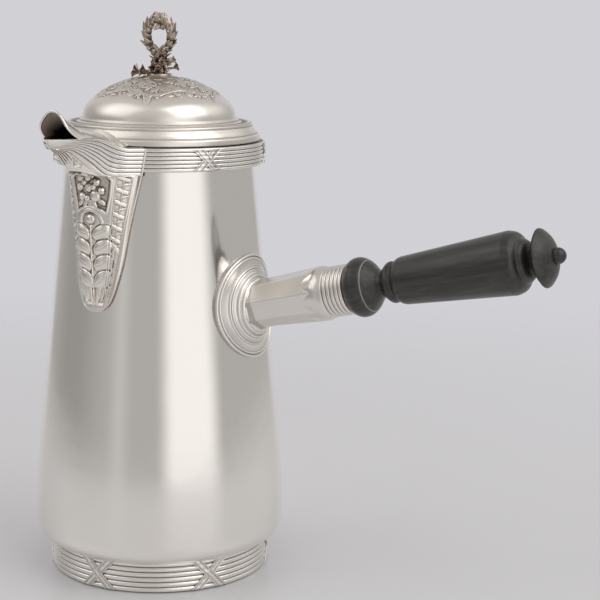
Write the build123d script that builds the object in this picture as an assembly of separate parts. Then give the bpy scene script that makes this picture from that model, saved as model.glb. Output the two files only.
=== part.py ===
from build123d import *
from math import asin, atan, cos, pi, radians, sin, sqrt, tan
import os

# A silver coffee pot: a tapered raised body on a reeded foot, a beak spout with a pendant apron,
# a hinged domed lid with a hood over the spout and a laurel finial, and a turned wood side handle.
# Millimetres. The origin is on the pot's axis at the surface it stands on, +Z is up, the spout
# points along -Y, the handle along +X, and the lid's hinge is at the back, on +Y.
# Each function returns one piece, and each piece is written to its own file at the end.

# ---------------------------------------------------------------- driving dimensions

# Body
rim_height = 182.5          # top edge of the body wall
rim_radius = 39.0           # outside of the wall at the rim
shoulder_height = 52.0      # where the straight taper meets the swelling of the belly
shoulder_radius = 51.6
belly_round = 8.0           # radius of the turn from the belly in to the foot
belly_turn = 70.0           # degrees of that turn before it meets the foot
body_wall = 1.0

# Foot and bottom
foot_height = 13.0
foot_crest_radius = 46.3
foot_bore_radius = 43.0
foot_reeds = 6
floor_lip = 1.5             # how far the turned-in wall overlaps the bottom plate
bottom_thickness = 1.2

# Reeded rim band
rim_band_height = 9.4
rim_crest_radius = 43.8
rim_reeds = 6
reed_fullness = 0.42       # how far a reed stands out, as a share of its own pitch

# Crossed ribbon ties on both bands
tie_count = 6
tie_width = 2.6
tie_lean = 46.0             # degrees of each ribbon from level
tie_length = 24.0
tie_proud = 0.6             # how far a tie stands out from the crest of the reeds
tie_margin = 0.4            # bare band above and below a tie

# Beak spout
spout_joint_angle = 27.0    # degrees from the spout's plane to where the rim band stops
beak_reach = 77.5           # tip of the beak from the pot's axis
beak_depth = 11.0           # from the rim down to the beak's floor
beak_rise = 5.0             # the lip's climb above the rim
beak_wall = 1.2
beak_reeds = 7
beak_reed_depth = 1.2

# Apron below the beak
apron_drop = 66.1           # from the rim down to the apron's point
apron_half_angle = 24.5     # degrees each side of the spout's plane, at the top
apron_edge = 1.2            # thickness at its border, at its point
apron_head_set_in = 2.5     # from the rim band's crest in to its border, at the top
apron_swell = 9.2           # extra stand-off on the centre line, at the top
apron_fullness = 0.8        # 1 is a parabola across it, and less is fuller
apron_wall = 1.4
apron_root = 4.0            # how far it is drawn in behind the body's face, and cut off
apron_hollow_level = 0.56   # how far down it is hollow, as a share of its drop below the beak
pour_hole_width = 22.0      # notch in the body wall behind the apron
pour_hole_depth = 38.0

# Lid
lid_gap = 0.3               # clearance between the closed lid and the rim
lid_set_in = 1.8            # from the rim band's crest in to the lid's edge
lid_wall = 1.0
lip_height = 2.4
flange_rise = 8.8           # from the lid's lower edge to the foot of the dome
flange_width = 3.8          # from the lid's edge in to the step
dome_radius = 31.8
dome_side_round = 10.0
lip_round_width = 1.2       # the lip's rounded top edge
lip_round_height = 1.0
ogee_hollow = 0.35          # how far the flange curves in between the lip and the step
step_height = 0.8           # the small step under the dome, and its width and drop below the dome's foot
step_width = 0.5
step_drop = 1.1
cove_width = 1.2            # the cove at the dome's foot
cove_drop = 0.7
crown_radius = 45.3
bezel_clearance = 0.6
bezel_depth = 4.5
bezel_wall = 1.0
bezel_gap_width = 28.0      # the bezel is cut away across the spout

# Hood over the beak
hood_wall = 1.0
hood_gap = 0.35             # clearance between the hood and the beak's edge
hood_height = 7.2           # ridge above the rim at the hood's root
hood_root_set_in = 3.0      # how far it starts behind the joint, inside the lid's flange
hood_root_width = 0.80      # its width there, as a share of the joint's
hood_headroom = 2.0         # spare height over the mouth's peak, cut off with it
hood_arch_width = 0.74      # the haunch of its arch, as a share of the half-width
hood_arch_height = 0.64     # and as a share of the height
mouth_foot_share = 0.66     # where the hood's mouth starts, along the beak
mouth_tip_lead = 7.6        # how far the mouth's peak leans past its feet
mouth_tip_height = 16.0     # the peak above the rim

# Hinge
hinge_offset = 2.6          # pin axis outside the rim band's crest
hinge_rise = 1.9            # pin axis above the rim
knuckle_radius = 2.2
pin_radius = 0.9
pin_running_gap = 0.05
hinge_half_width = 8.0
lid_knuckle_half_width = 3.0
knuckle_side_gap = 0.15
leaf_drop = 8.5
leaf_top_drop = 0.5         # from the knuckles down to the body leaf's flat top
lid_leaf_below = 0.4        # the lid leaf's faces below and above the pin's axis
lid_leaf_above = 1.4

# Finial
boss_radius = 5.2
boss_height = 0.9
stem_height = 7.4
stem_foot_radius = 3.2
stem_top_radius = 1.5
wreath_radius = 7.0
wreath_thickness = 2.4      # radius of the leafy ring itself
wreath_seat = 1.0           # how far the ring sinks over the top of the stem
branch_foot_spread = 2.6    # the two crossed branches: half their spread, low and high
branch_tip_spread = 4.0
branch_foot_share = 0.55    # where they start, as a share of the stem's height
branch_tip_rise = 2.2       # how far they climb past the stem
branch_foot_radius = 0.9
branch_tip_radius = 1.1
twig_root_reach = 1.2       # the sprays' twigs: where they start, and their radii
twig_root_radius = 0.7
twig_tip_radius = 0.5
flower_throat_radius = 0.45
flower_lift = 0.3           # each flower's mouth above its throat
screw_radius = 1.5
nut_radius = 4.0
nut_height = 2.4

# Handle
handle_height = 116.6       # where its axis meets the body
handle_tilt = 13.7          # degrees above level
plate_radius = 21.5
socket_length = 39.3
socket_radius = 11.2        # to the corners of the eight facets
socket_facets = 8
collar_length = 4.8
ferrule_length = 9.1
ferrule_radius = 10.3
ferrule_reeds = 5
spigot_radius = 6.8
spigot_length = 24.0
cross_pin_radius = 0.8
ball_length = 13.0
ball_radius = 12.0
neck_radius = 5.6
bead_radius = 8.3
grip_length = 53.9
grip_start_radius = 9.6
grip_end_radius = 12.4
knob_radius = 11.4
knob_neck_radius = 3.6
button_radius = 3.1
button_height = 4.0
neck_length = 2.2           # the plain neck between the ball and the bead
bead_length = 5.2
grip_start_round = 4.5      # how far the grip's shoulders take to round over
grip_end_round = 5.0
recess_length = 2.6         # from the grip's end down to the knob's neck
knob_gap = 3.2              # from there to the knob's inner edge
knob_hollow = 1.6           # how far the knob's back curves in over the neck
knob_length = 6.6
wood_set_in = 0.6           # from the ferrule's crest in to the wood
socket_taper = 0.83         # the facets at the body, as a share of the facets at the collar

# ---------------------------------------------------------------- worked-out places

taper = atan((shoulder_radius - rim_radius) / (rim_height - shoulder_height))
belly_height = foot_height + belly_round * sin(radians(belly_turn))
belly_radius = shoulder_radius + (shoulder_height - belly_height) * tan(taper / 2)
joint_reach = rim_crest_radius * cos(radians(spout_joint_angle))
joint_half_width = rim_crest_radius * sin(radians(spout_joint_angle))
beak_floor = rim_height - beak_depth
lid_base = rim_height + lid_gap
dome_foot = lid_base + flange_rise
lid_radius = rim_crest_radius - lid_set_in
flange_step_radius = lid_radius - flange_width
hinge_y = rim_crest_radius + hinge_offset
hinge_z = rim_height + hinge_rise
bezel_radius = rim_radius - body_wall - bezel_clearance
far = 2 * (rim_height + beak_reach)   # longer than any piece, for cutting tools


def body_radius(height):
    """Outside radius of the body wall on its straight taper."""
    return rim_radius + (rim_height - height) * tan(taper)


def turned(edges):
    """Solid of revolution about +Z from a closed outline drawn as radius and height."""
    return revolve(Plane.XZ * make_face(edges), Axis.Z)


def ring(inner, outer, low, high):
    """Plain tube standing on +Z."""
    return Pos(0, 0, low) * (
        Cylinder(outer, high - low, align=(Align.CENTER, Align.CENTER, Align.MIN))
        - Cylinder(inner, high - low, align=(Align.CENTER, Align.CENTER, Align.MIN))
    )


def disc(radius, low, high):
    """Plain solid cylinder standing on +Z."""
    return Pos(0, 0, low) * Cylinder(radius, high - low, align=(Align.CENTER, Align.CENTER, Align.MIN))


def block(low, high):
    """Box between two corners."""
    size = [b - a for a, b in zip(low, high)]
    centre = [(a + b) / 2 for a, b in zip(low, high)]
    return Pos(*centre) * Box(*size)


# ---------------------------------------------------------------- body and foot

def body_solid(inset, floor):
    """The body's outside drawn in by inset, filled, with its lower face at floor."""
    swell = (shoulder_height - belly_height) / sin(taper)
    swell_centre = belly_radius - swell
    turn = belly_round - inset
    turn_centre = belly_radius - belly_round
    turn_end = asin((belly_height - floor) / turn)
    rim = (rim_radius - inset, rim_height)
    shoulder = (shoulder_radius - inset, shoulder_height)
    swell_middle = (
        swell_centre + swell * cos(taper / 2) - inset,
        belly_height + swell * sin(taper / 2),
    )
    belly = (belly_radius - inset, belly_height)
    turn_middle = (
        turn_centre + turn * cos(turn_end / 2),
        belly_height - turn * sin(turn_end / 2),
    )
    foot = (turn_centre + turn * cos(turn_end), floor)
    return turned([
        Line((0, floor), (0, rim_height)),
        Line((0, rim_height), rim),
        Line(rim, shoulder),
        ThreePointArc(shoulder, swell_middle, belly),
        ThreePointArc(belly, turn_middle, foot),
        Line(foot, (0, floor)),
    ])


outer_body = body_solid(0, foot_height)


def make_body_shell():
    """Raised silver wall, open at the top and the bottom, notched behind the spout."""
    shell = outer_body - body_solid(body_wall, foot_height + body_wall)
    shell -= disc(foot_bore_radius - floor_lip, foot_height - 1, foot_height + 2 * body_wall)
    notch_low = rim_height - pour_hole_depth
    notch = Plane.XZ * make_face(Polyline(
        (-pour_hole_width / 2, rim_height + 1),
        (-pour_hole_width / 2, beak_floor),
        (0, notch_low),
        (pour_hole_width / 2, beak_floor),
        (pour_hole_width / 2, rim_height + 1),
        close=True,
    ))
    return shell - extrude(notch, far)


def make_bottom_plate():
    """Flat disc inside the foot, soldered under the turned-in wall."""
    return disc(foot_bore_radius, foot_height - bottom_thickness, foot_height)


def reeded_ring(inner, crest, low, high, reeds):
    """Band with round reeds stacked up its outside."""
    pitch = (high - low) / reeds
    root = crest - reed_fullness * pitch
    edges = [Line((inner, low), (root, low))]
    for i in range(reeds):
        start = low + i * pitch
        edges.append(ThreePointArc((root, start), (crest, start + pitch / 2), (root, start + pitch)))
    edges.append(Line((root, high), (inner, high)))
    edges.append(Line((inner, high), (inner, low)))
    return turned(edges)


foot_ring = reeded_ring(foot_bore_radius, foot_crest_radius, 0, foot_height, foot_reeds)
rim_ring = reeded_ring(
    rim_radius - body_wall / 2, rim_crest_radius, rim_height - rim_band_height, rim_height, rim_reeds
) - outer_body


def make_rim_band():
    """Reeded band round the rim, stopping each side of the spout."""
    band = rim_ring - block((-far, -far, 0), (far, -joint_reach, far))
    band -= block((-pour_hole_width / 2, -far, 0), (pour_hole_width / 2, 0, far))
    return band.solids().sort_by(SortBy.VOLUME)[-1]


def crossed_ties(band, crest, low, high, angles):
    """Crossed ribbons laid over a reeded band, one cross at each angle from +X."""
    skin = ring(crest - tie_proud, crest + tie_proud, low + tie_margin, high - tie_margin)
    ties = []
    for angle in angles:
        way = radians(angle)
        face = Plane(
            origin=(0, 0, (low + high) / 2),
            x_dir=(-sin(way), cos(way), 0),
            z_dir=(cos(way), sin(way), 0),
        )
        bar = Pos(0, 0, far / 2) * Box(tie_length, tie_width, far)
        cross = face * (Rot(0, 0, tie_lean) * bar + Rot(0, 0, -tie_lean) * bar)
        ties.append(((skin & cross) - band).solids().sort_by(SortBy.VOLUME)[-1])
    return ties


tie_angles = [-90 + i * 360 / tie_count for i in range(tie_count)]
rim_tie_angles = [angle for angle in tie_angles if angle not in (-90, 90)]   # spout and hinge


# ---------------------------------------------------------------- spout

# Shape of the beak at stations along it, from the rim band (0) to the tip (1). The columns are the
# place, the width of the top edge, the edge's climb, the width at the foot of the reeds, the height
# of that foot and the height of the keel. Widths are shares of the width at the joint, and of the
# edge's own width. Heights are shares of the climb, and of the depth from the edge to the floor.
BEAK_STATIONS = [
    (0.00, 1.000, 0.00, 0.93, 0.00, 0.00),
    (0.12, 0.795, 0.02, 0.93, 0.00, 0.00),
    (0.22, 0.675, 0.25, 0.92, 0.00, 0.00),
    (0.30, 0.610, 0.52, 0.84, 0.06, 0.00),
    (0.45, 0.533, 0.90, 0.64, 0.37, 0.07),
    (0.60, 0.482, 1.00, 0.50, 0.60, 0.17),
    (0.72, 0.432, 1.00, 0.44, 0.72, 0.37),
    (0.84, 0.330, 0.98, 0.36, 0.76, 0.61),
    (0.94, 0.190, 0.97, 0.30, 0.80, 0.79),
    (1.00, 0.100, 0.98, 0.30, 0.92, 0.91),
]


def beak_station(row):
    """Reach, edge half-width and height, reed-foot half-width and height, and keel height."""
    place, width, climb, foot_width, foot_share, keel_share = row
    reach = joint_reach + place * (beak_reach - joint_reach)
    edge = joint_half_width * width - beak_reed_depth
    edge_z = rim_height + beak_rise * climb
    depth = edge_z - beak_floor
    return reach, edge, edge_z, edge * foot_width, beak_floor + depth * foot_share, \
        beak_floor + depth * keel_share


def polygon_wire(reach, points):
    """Closed wire across the beak, from half-widths and heights."""
    return Wire.make_polygon([Vector(v, -reach, z) for v, z in points], close=True)


def make_spout_beak():
    """Hollow beak, open on top and open behind into the body and the apron."""
    outer = []
    inner = []
    for row in BEAK_STATIONS:
        reach, edge, edge_z, foot, foot_z, keel_z = beak_station(row)
        outer.append(polygon_wire(reach, [
            (edge, edge_z), (foot, foot_z), (0, keel_z), (-foot, foot_z), (-edge, edge_z),
        ]))
        if edge > 2 * beak_wall:
            open_floor = 3 * beak_wall if row[5] == 0 else 0
            lift = beak_wall * 1.3 - open_floor
            top = edge_z + beak_wall
            wall = edge - beak_wall
            inner_foot = foot - beak_wall
            inner.append(polygon_wire(reach - beak_wall / 2, [
                (wall, top), (wall, edge_z), (inner_foot, foot_z + lift), (0, keel_z + lift),
                (-inner_foot, foot_z + lift), (-wall, edge_z), (-wall, top),
            ]))
    shell = Solid.make_loft(outer, ruled=True)
    hollow = Solid.make_loft(inner, ruled=True)
    return shell - hollow - outer_body


def make_spout_reeds():
    """Reeded strips along both flanks of the beak, carrying on from the rim band."""
    base = beak_reed_depth / 3
    strips = []
    for side in (1, -1):
        wires = []
        for row in BEAK_STATIONS:
            reach, edge, edge_z, foot, foot_z, _ = beak_station(row)
            pitch = (edge_z - foot_z) / beak_reeds
            relief = min(beak_reed_depth - base, pitch * reed_fullness)
            corners = []
            for i in range(beak_reeds + 1):
                share = i / beak_reeds
                corners.append((edge + (foot - edge) * share + base, edge_z + (foot_z - edge_z) * share))
            top = Vector(side * edge, -reach, edge_z)
            bottom = Vector(side * foot, -reach, foot_z)
            roots = [Vector(side * v, -reach, z) for v, z in corners]
            edges = [Edge.make_line(top, roots[0])]
            for upper, lower in zip(roots, roots[1:]):
                crest = (upper + lower) / 2 + Vector(side * relief, 0, 0)
                edges.append(Edge.make_three_point_arc(upper, crest, lower))
            edges.append(Edge.make_line(roots[-1], bottom))
            edges.append(Edge.make_line(bottom, top))
            wires.append(Wire(edges))
        strips.append(Solid.make_loft(wires, ruled=True))
    return strips


# Shape of the apron at levels down it, from the beak's floor (0) to its point (1). The columns are
# the level, the half-angle as a share of the top's, and the swell as a share of the top's.
APRON_LEVELS = [
    (0.00, 1.00, 1.00),
    (0.12, 0.93, 0.86),
    (0.35, 0.77, 0.66),
    (0.56, 0.65, 0.44),
    (0.78, 0.53, 0.20),
    (0.92, 0.37, 0.07),
    (1.00, 0.10, 0.00),
]
APRON_STEPS = 4             # points drawn on each half of a level


def apron_solid(inset, lowest, behind):
    """Apron filled from behind the body wall, drawn in by inset, down to a share of its drop."""
    sections = []
    drop = apron_drop - beak_depth
    head_edge = rim_crest_radius - apron_head_set_in - body_radius(beak_floor)
    for level, angle_share, swell_share in APRON_LEVELS:
        if level > lowest:
            continue
        height = beak_floor - level * drop
        wall = body_radius(height)
        half = radians(apron_half_angle * angle_share) - inset / wall
        edge = apron_edge + (head_edge - apron_edge) * swell_share
        outline = []
        for i in range(-APRON_STEPS, APRON_STEPS + 1):
            t = i / APRON_STEPS
            angle = half * t
            bulge = max(0.0, 1 - t * t) ** apron_fullness
            reach = wall + edge + apron_swell * swell_share * bulge - inset
            outline.append(Vector(reach * sin(angle), -reach * cos(angle), height))
        front = Edge.make_spline(outline)
        back_radius = wall - behind
        back = [Vector(back_radius * sin(half * s), -back_radius * cos(half * s), height) for s in (1, -1)]
        sections.append(Wire([
            front,
            Edge.make_line(outline[-1], back[0]),
            Edge.make_line(back[0], back[1]),
            Edge.make_line(back[1], outline[0]),
        ]))
    return Solid.make_loft(sections, ruled=False)


def make_spout_apron():
    """Hollow pendant under the beak, seated on the body's taper and open behind the swelling."""
    solid = apron_solid(0, 1.0, apron_root) - outer_body
    hollow = apron_solid(apron_wall, apron_hollow_level, apron_root)
    return solid - hollow - Pos(0, 0, apron_wall / 2) * hollow


# ---------------------------------------------------------------- lid

def dome_edges(inset):
    """Two arcs and their ends for the dome's outline, from its foot up to the axis."""
    side = dome_side_round - inset
    crown = crown_radius - inset
    turn = (dome_radius - dome_side_round) / (crown_radius - dome_side_round)
    rise = sqrt(1 - turn * turn)
    side_centre = dome_radius - dome_side_round
    crown_centre = dome_foot + dome_side_round * rise - crown_radius * rise
    foot = (side_centre + side, dome_foot)
    joint = (side_centre + side * turn, dome_foot + side * rise)
    half = asin(rise) / 2
    side_middle = (side_centre + side * cos(half), dome_foot + side * sin(half))
    lean = asin(turn) / 2
    crown_middle = (crown * sin(lean), crown_centre + crown * cos(lean))
    top = (0, crown_centre + crown)
    return foot, top, [ThreePointArc(foot, side_middle, joint), ThreePointArc(joint, crown_middle, top)]


dome_top = dome_edges(0)[1][1]


def make_lid_blank():
    """The lid's outside, filled down to its lower edge."""
    foot, top, dome = dome_edges(0)
    lip_top = (lid_radius, lid_base + lip_height)
    lip_round = (lid_radius - lip_round_width, lid_base + lip_height + lip_round_height)
    step_low = (flange_step_radius, dome_foot - step_drop - step_height)
    ogee_middle = (
        (lip_round[0] + step_low[0]) / 2 - ogee_hollow,
        (lip_round[1] + step_low[1]) / 2 - ogee_hollow,
    )
    step_high = (flange_step_radius - step_width, dome_foot - step_drop)
    cove = (dome_radius + cove_width, dome_foot - cove_drop)
    return turned([
        Line((0, lid_base), (lid_radius, lid_base)),
        Line((lid_radius, lid_base), lip_top),
        Line(lip_top, lip_round),
        ThreePointArc(lip_round, ogee_middle, step_low),
        Line(step_low, step_high),
        Line(step_high, cove),
        Line(cove, foot),
        *dome,
        Line(top, (0, lid_base)),
    ])


def make_lid_hollow():
    """The space under the lid, drawn in from the outside by the lid's wall."""
    foot, top, dome = dome_edges(lid_wall)
    below = lid_base - lid_wall
    lip = lid_radius - lid_wall
    shoulder = (lip, lid_base + lip_height)
    step = (flange_step_radius - lid_wall, dome_foot - step_drop - 1.5 * lid_wall)
    inner = (dome_radius, dome_foot - cove_drop - lid_wall)
    return turned([
        Line((0, below), (lip, below)),
        Line((lip, below), shoulder),
        Line(shoulder, step),
        Line(step, inner),
        Line(inner, foot),
        *dome,
        Line(top, (0, below)),
    ])


lid_blank = make_lid_blank()
lid_hollow = make_lid_hollow()
screw_bore = disc(screw_radius, dome_top - 3 * nut_height, dome_top + boss_height)


def make_lid_bezel():
    """Turned-down ring that locates the lid inside the body, cut away at the spout."""
    seat = ring(bezel_radius - bezel_wall, lid_radius - lid_wall, lid_base, lid_base + bezel_wall)
    collar = ring(bezel_radius - bezel_wall, bezel_radius, rim_height - bezel_depth, lid_base)
    gap = block((-bezel_gap_width / 2, -far, 0), (bezel_gap_width / 2, 0, lid_base))
    return seat + (collar - gap)


# Ridge of the hood at the beak's stations, as shares of the mouth's height above the hood's root.
HOOD_RIDGE = {0.00: 0.0, 0.12: 0.0, 0.22: 0.0, 0.30: 0.03, 0.45: 0.10, 0.60: 0.26, 0.72: 0.56, 0.84: 0.95}


def hood_solid(inset):
    """The hood filled, from inside the lid's flange out past its mouth."""
    wires = []
    for row in BEAK_STATIONS:
        place = row[0]
        if place not in HOOD_RIDGE:
            continue
        reach, edge, edge_z, _, _, _ = beak_station(row)
        if place == 0:
            reach = joint_reach - hood_root_set_in
            edge = joint_half_width * hood_root_width - beak_reed_depth
        base = edge_z + hood_gap - (2 * inset)
        half = edge + beak_reed_depth / 2 - inset
        climb = mouth_tip_height + hood_headroom - hood_height
        ridge = rim_height + hood_height + climb * HOOD_RIDGE[place] - inset
        tall = ridge - base
        haunch = half * hood_arch_width
        haunch_z = base + tall * hood_arch_height
        points = [(-half, base), (-haunch, haunch_z), (0, ridge), (haunch, haunch_z), (half, base)]
        corners = [Vector(v, -reach, z) for v, z in points]
        wires.append(Wire([Edge.make_spline(corners), Edge.make_line(corners[-1], corners[0])]))
    return Solid.make_loft(wires, ruled=True)


def make_lid_hood():
    """Arched hood soldered to the lid's flange, with a leaning open mouth."""
    hood = hood_solid(0) - hood_solid(hood_wall) - lid_blank
    foot_reach = joint_reach + mouth_foot_share * (beak_reach - joint_reach)
    foot_z = rim_height + beak_rise
    tip_z = rim_height + mouth_tip_height
    front = Plane.YZ * make_face(Polyline(
        (-foot_reach, 0),
        (-foot_reach, foot_z),
        (-foot_reach - mouth_tip_lead, tip_z),
        (-foot_reach - 2 * mouth_tip_lead, 2 * tip_z - foot_z),
        (-far, 2 * tip_z - foot_z),
        (-far, 0),
        close=True,
    ))
    hood -= extrude(front, far, both=True)
    return hood.solids().sort_by(SortBy.VOLUME)[-1]


# ---------------------------------------------------------------- hinge

def cross_cylinder(radius, low, high):
    """Cylinder along X on the hinge's axis."""
    along = Plane(origin=(low, hinge_y, hinge_z), x_dir=(0, 1, 0), z_dir=(1, 0, 0))
    return along * Cylinder(radius, high - low, align=(Align.CENTER, Align.CENTER, Align.MIN))


def make_hinge_body_leaf():
    """Leaf soldered on the rim band, with the two outer knuckles."""
    top = hinge_z - knuckle_radius - leaf_top_drop
    leaf = block(
        (-hinge_half_width, rim_radius, rim_height - leaf_drop),
        (hinge_half_width, hinge_y + knuckle_radius / 2, top),
    )
    inner = lid_knuckle_half_width + knuckle_side_gap
    for low, high in ((-hinge_half_width, -inner), (inner, hinge_half_width)):
        web = block((low, hinge_y - knuckle_radius / 2, top), (high, hinge_y + knuckle_radius / 2, hinge_z))
        leaf = leaf + web + cross_cylinder(knuckle_radius, low, high)
    leaf = leaf - outer_body - rim_ring
    leaf -= cross_cylinder(pin_radius, -far, far)
    return leaf.solids().sort_by(SortBy.VOLUME)[-1]


def make_hinge_lid_leaf():
    """Leaf soldered on the lid's flange, with the middle knuckle."""
    half = lid_knuckle_half_width
    arm = block(
        (-half, lid_radius - 2 * lid_wall, hinge_z - lid_leaf_below),
        (half, hinge_y, hinge_z + lid_leaf_above),
    )
    leaf = arm + cross_cylinder(knuckle_radius, -half, half)
    leaf -= cross_cylinder(pin_radius + pin_running_gap, -far, far)
    return (leaf - lid_blank).solids().sort_by(SortBy.VOLUME)[-1]


def make_hinge_pin():
    """Pin through the three knuckles, riveted flush at its ends."""
    return cross_cylinder(pin_radius, -hinge_half_width, hinge_half_width)


# ---------------------------------------------------------------- finial

boss_top = dome_top + boss_height
stem_top = boss_top + stem_height
wreath_z = stem_top + wreath_radius + wreath_thickness - wreath_seat


def wreath_ring():
    """Laurel ring standing in the handle's plane, so that it faces the spout."""
    return Pos(0, 0, wreath_z) * Rot(90, 0, 0) * Torus(wreath_radius, wreath_thickness)


def make_finial_boss():
    """Small disc seated on the dome, under the finial."""
    return disc(boss_radius, dome_top - boss_height, boss_top) - lid_blank - screw_bore


def rod(start, end, start_radius, end_radius):
    """Tapered round bar between two points."""
    way = Vector(*end) - Vector(*start)
    frame = Plane(origin=start, z_dir=way)
    return frame * Cone(start_radius, end_radius, way.length, align=(Align.CENTER, Align.CENTER, Align.MIN))


def make_finial_stem():
    """Bundle of stems that rises from the boss and crosses under the wreath."""
    bundle = Pos(0, 0, boss_top) * Cone(
        stem_foot_radius, stem_top_radius, stem_height, align=(Align.CENTER, Align.CENTER, Align.MIN)
    )
    for side in (1, -1):
        low = (-side * branch_foot_spread, 0, boss_top + stem_height * branch_foot_share)
        high = (side * branch_tip_spread, 0, stem_top + branch_tip_rise)
        bundle += rod(low, high, branch_foot_radius, branch_tip_radius)
    return (bundle - wreath_ring()).solids().sort_by(SortBy.VOLUME)[-1]


# Sprays round the stem: direction in degrees from +X, reach, height above the boss, size.
SPRAYS = [(200, 11.5, 2.2, 1.7), (225, 8.0, 2.6, 1.5), (20, 8.0, 1.8, 1.5), (60, 7.0, 4.6, 1.3),
          (280, 7.5, 1.4, 1.4), (140, 7.0, 1.6, 1.4)]


def make_finial_sprays():
    """Small flowers on curved twigs, soldered round the foot of the stem."""
    pieces = []
    stem = make_finial_stem()
    for turn, reach, rise, size in SPRAYS:
        way = Vector(cos(radians(turn)), sin(radians(turn)), 0)
        root = way * twig_root_reach + Vector(0, 0, boss_top + twig_root_reach)
        neck = way * (reach - 2 * size) + Vector(0, 0, boss_top + rise)
        mouth = way * reach + Vector(0, 0, boss_top + rise + flower_lift)
        twig = rod(tuple(root), tuple(neck), twig_root_radius, twig_tip_radius)
        flower = rod(tuple(neck), tuple(mouth), flower_throat_radius, size)
        spray = twig + flower - stem
        for other in pieces:
            spray -= other
        pieces.append(spray.solids().sort_by(SortBy.VOLUME)[-1])
    return pieces


def make_finial_screw():
    """Stud that hangs from the finial through the dome."""
    return disc(screw_radius, dome_top - lid_wall - nut_height - 1, boss_top)


def make_finial_nut():
    """Round nut under the dome, shaped to it."""
    nut = disc(nut_radius, dome_top - lid_wall - nut_height, dome_top) & lid_hollow
    return nut - screw_bore


# ---------------------------------------------------------------- handle

handle_axis = Plane(
    origin=(body_radius(handle_height), 0, handle_height),
    x_dir=(0, 1, 0),
    z_dir=(cos(radians(handle_tilt)), 0, sin(radians(handle_tilt))),
)
plate_axis = Plane(
    origin=(body_radius(handle_height), 0, handle_height),
    x_dir=(0, 1, 0),
    z_dir=(cos(taper), 0, sin(taper)),
)

# Stepped mouldings of the plate: radius as a share of the plate's, and thickness over the wall.
PLATE_STEPS = [(1.00, 1.5), (0.86, 2.1), (0.72, 2.8), (0.60, 3.8), (0.51, 5.0)]


def along_handle(radius, low, high):
    """Cylinder on the handle's axis."""
    return handle_axis * disc(radius, low, high)


spigot_start = socket_length + ferrule_length - spigot_length
cross_pin_at = socket_length - collar_length / 2
cross_pin = handle_axis * Pos(0, 0, cross_pin_at) * Rot(0, 90, 0) * Cylinder(
    cross_pin_radius, 2 * ferrule_radius
)


def make_handle_plate():
    """Round stepped plate that follows the body's wall, bored for the socket."""
    plate = None
    for share, thickness in PLATE_STEPS:
        skin = body_solid(-thickness, foot_height) & (plate_axis * disc(plate_radius * share, -plate_radius, plate_radius))
        plate = skin if plate is None else plate + skin
    plate = plate - outer_body - socket_blank
    return plate.solids().sort_by(SortBy.VOLUME)[-1]


def make_socket_blank():
    """Faceted socket with a round collar at its outer end, before it is bored."""
    facets = socket_length - collar_length
    start = Pos(0, 0, -2 * body_wall) * RegularPolygon(socket_radius * socket_taper, socket_facets)
    end = Pos(0, 0, facets) * RegularPolygon(socket_radius, socket_facets)
    faceted = loft([start, end])
    collar = disc(socket_radius, facets, socket_length)
    return handle_axis * (faceted + collar) - outer_body


socket_blank = make_socket_blank()


def make_handle_socket():
    """The socket, bored for the handle's spigot."""
    return socket_blank - along_handle(spigot_radius, spigot_start - 1, socket_length) - cross_pin


def make_handle_ferrule():
    """Short reeded sleeve between the socket and the wood."""
    sleeve = reeded_ring(spigot_radius, ferrule_radius, 0, ferrule_length, ferrule_reeds)
    return handle_axis * Pos(0, 0, socket_length) * sleeve


# Turned outlines of the wood, from the ferrule outwards: radius as a share of the moulding's own,
# and place as a share of its length.
BALL_OUTLINE = [(0.95, 0.16), (1.00, 0.34), (0.85, 0.66), (0.57, 0.90)]
BEAD_OUTLINE = [(0.94, 0.37), (1.00, 0.59), (0.89, 1.00)]
GRIP_START_OUTLINE = [(0.94, 0.36), (1.00, 1.00)]
GRIP_END_OUTLINE = [(0.91, 0.64), (0.72, 1.00)]
RECESS_OUTLINE = [(0.84, 0.77)]
KNOB_BACK_OUTLINE = [(0.72, 0.38), (1.00, 1.00)]
KNOB_FRONT_OUTLINE = [(0.76, 0.56)]


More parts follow.
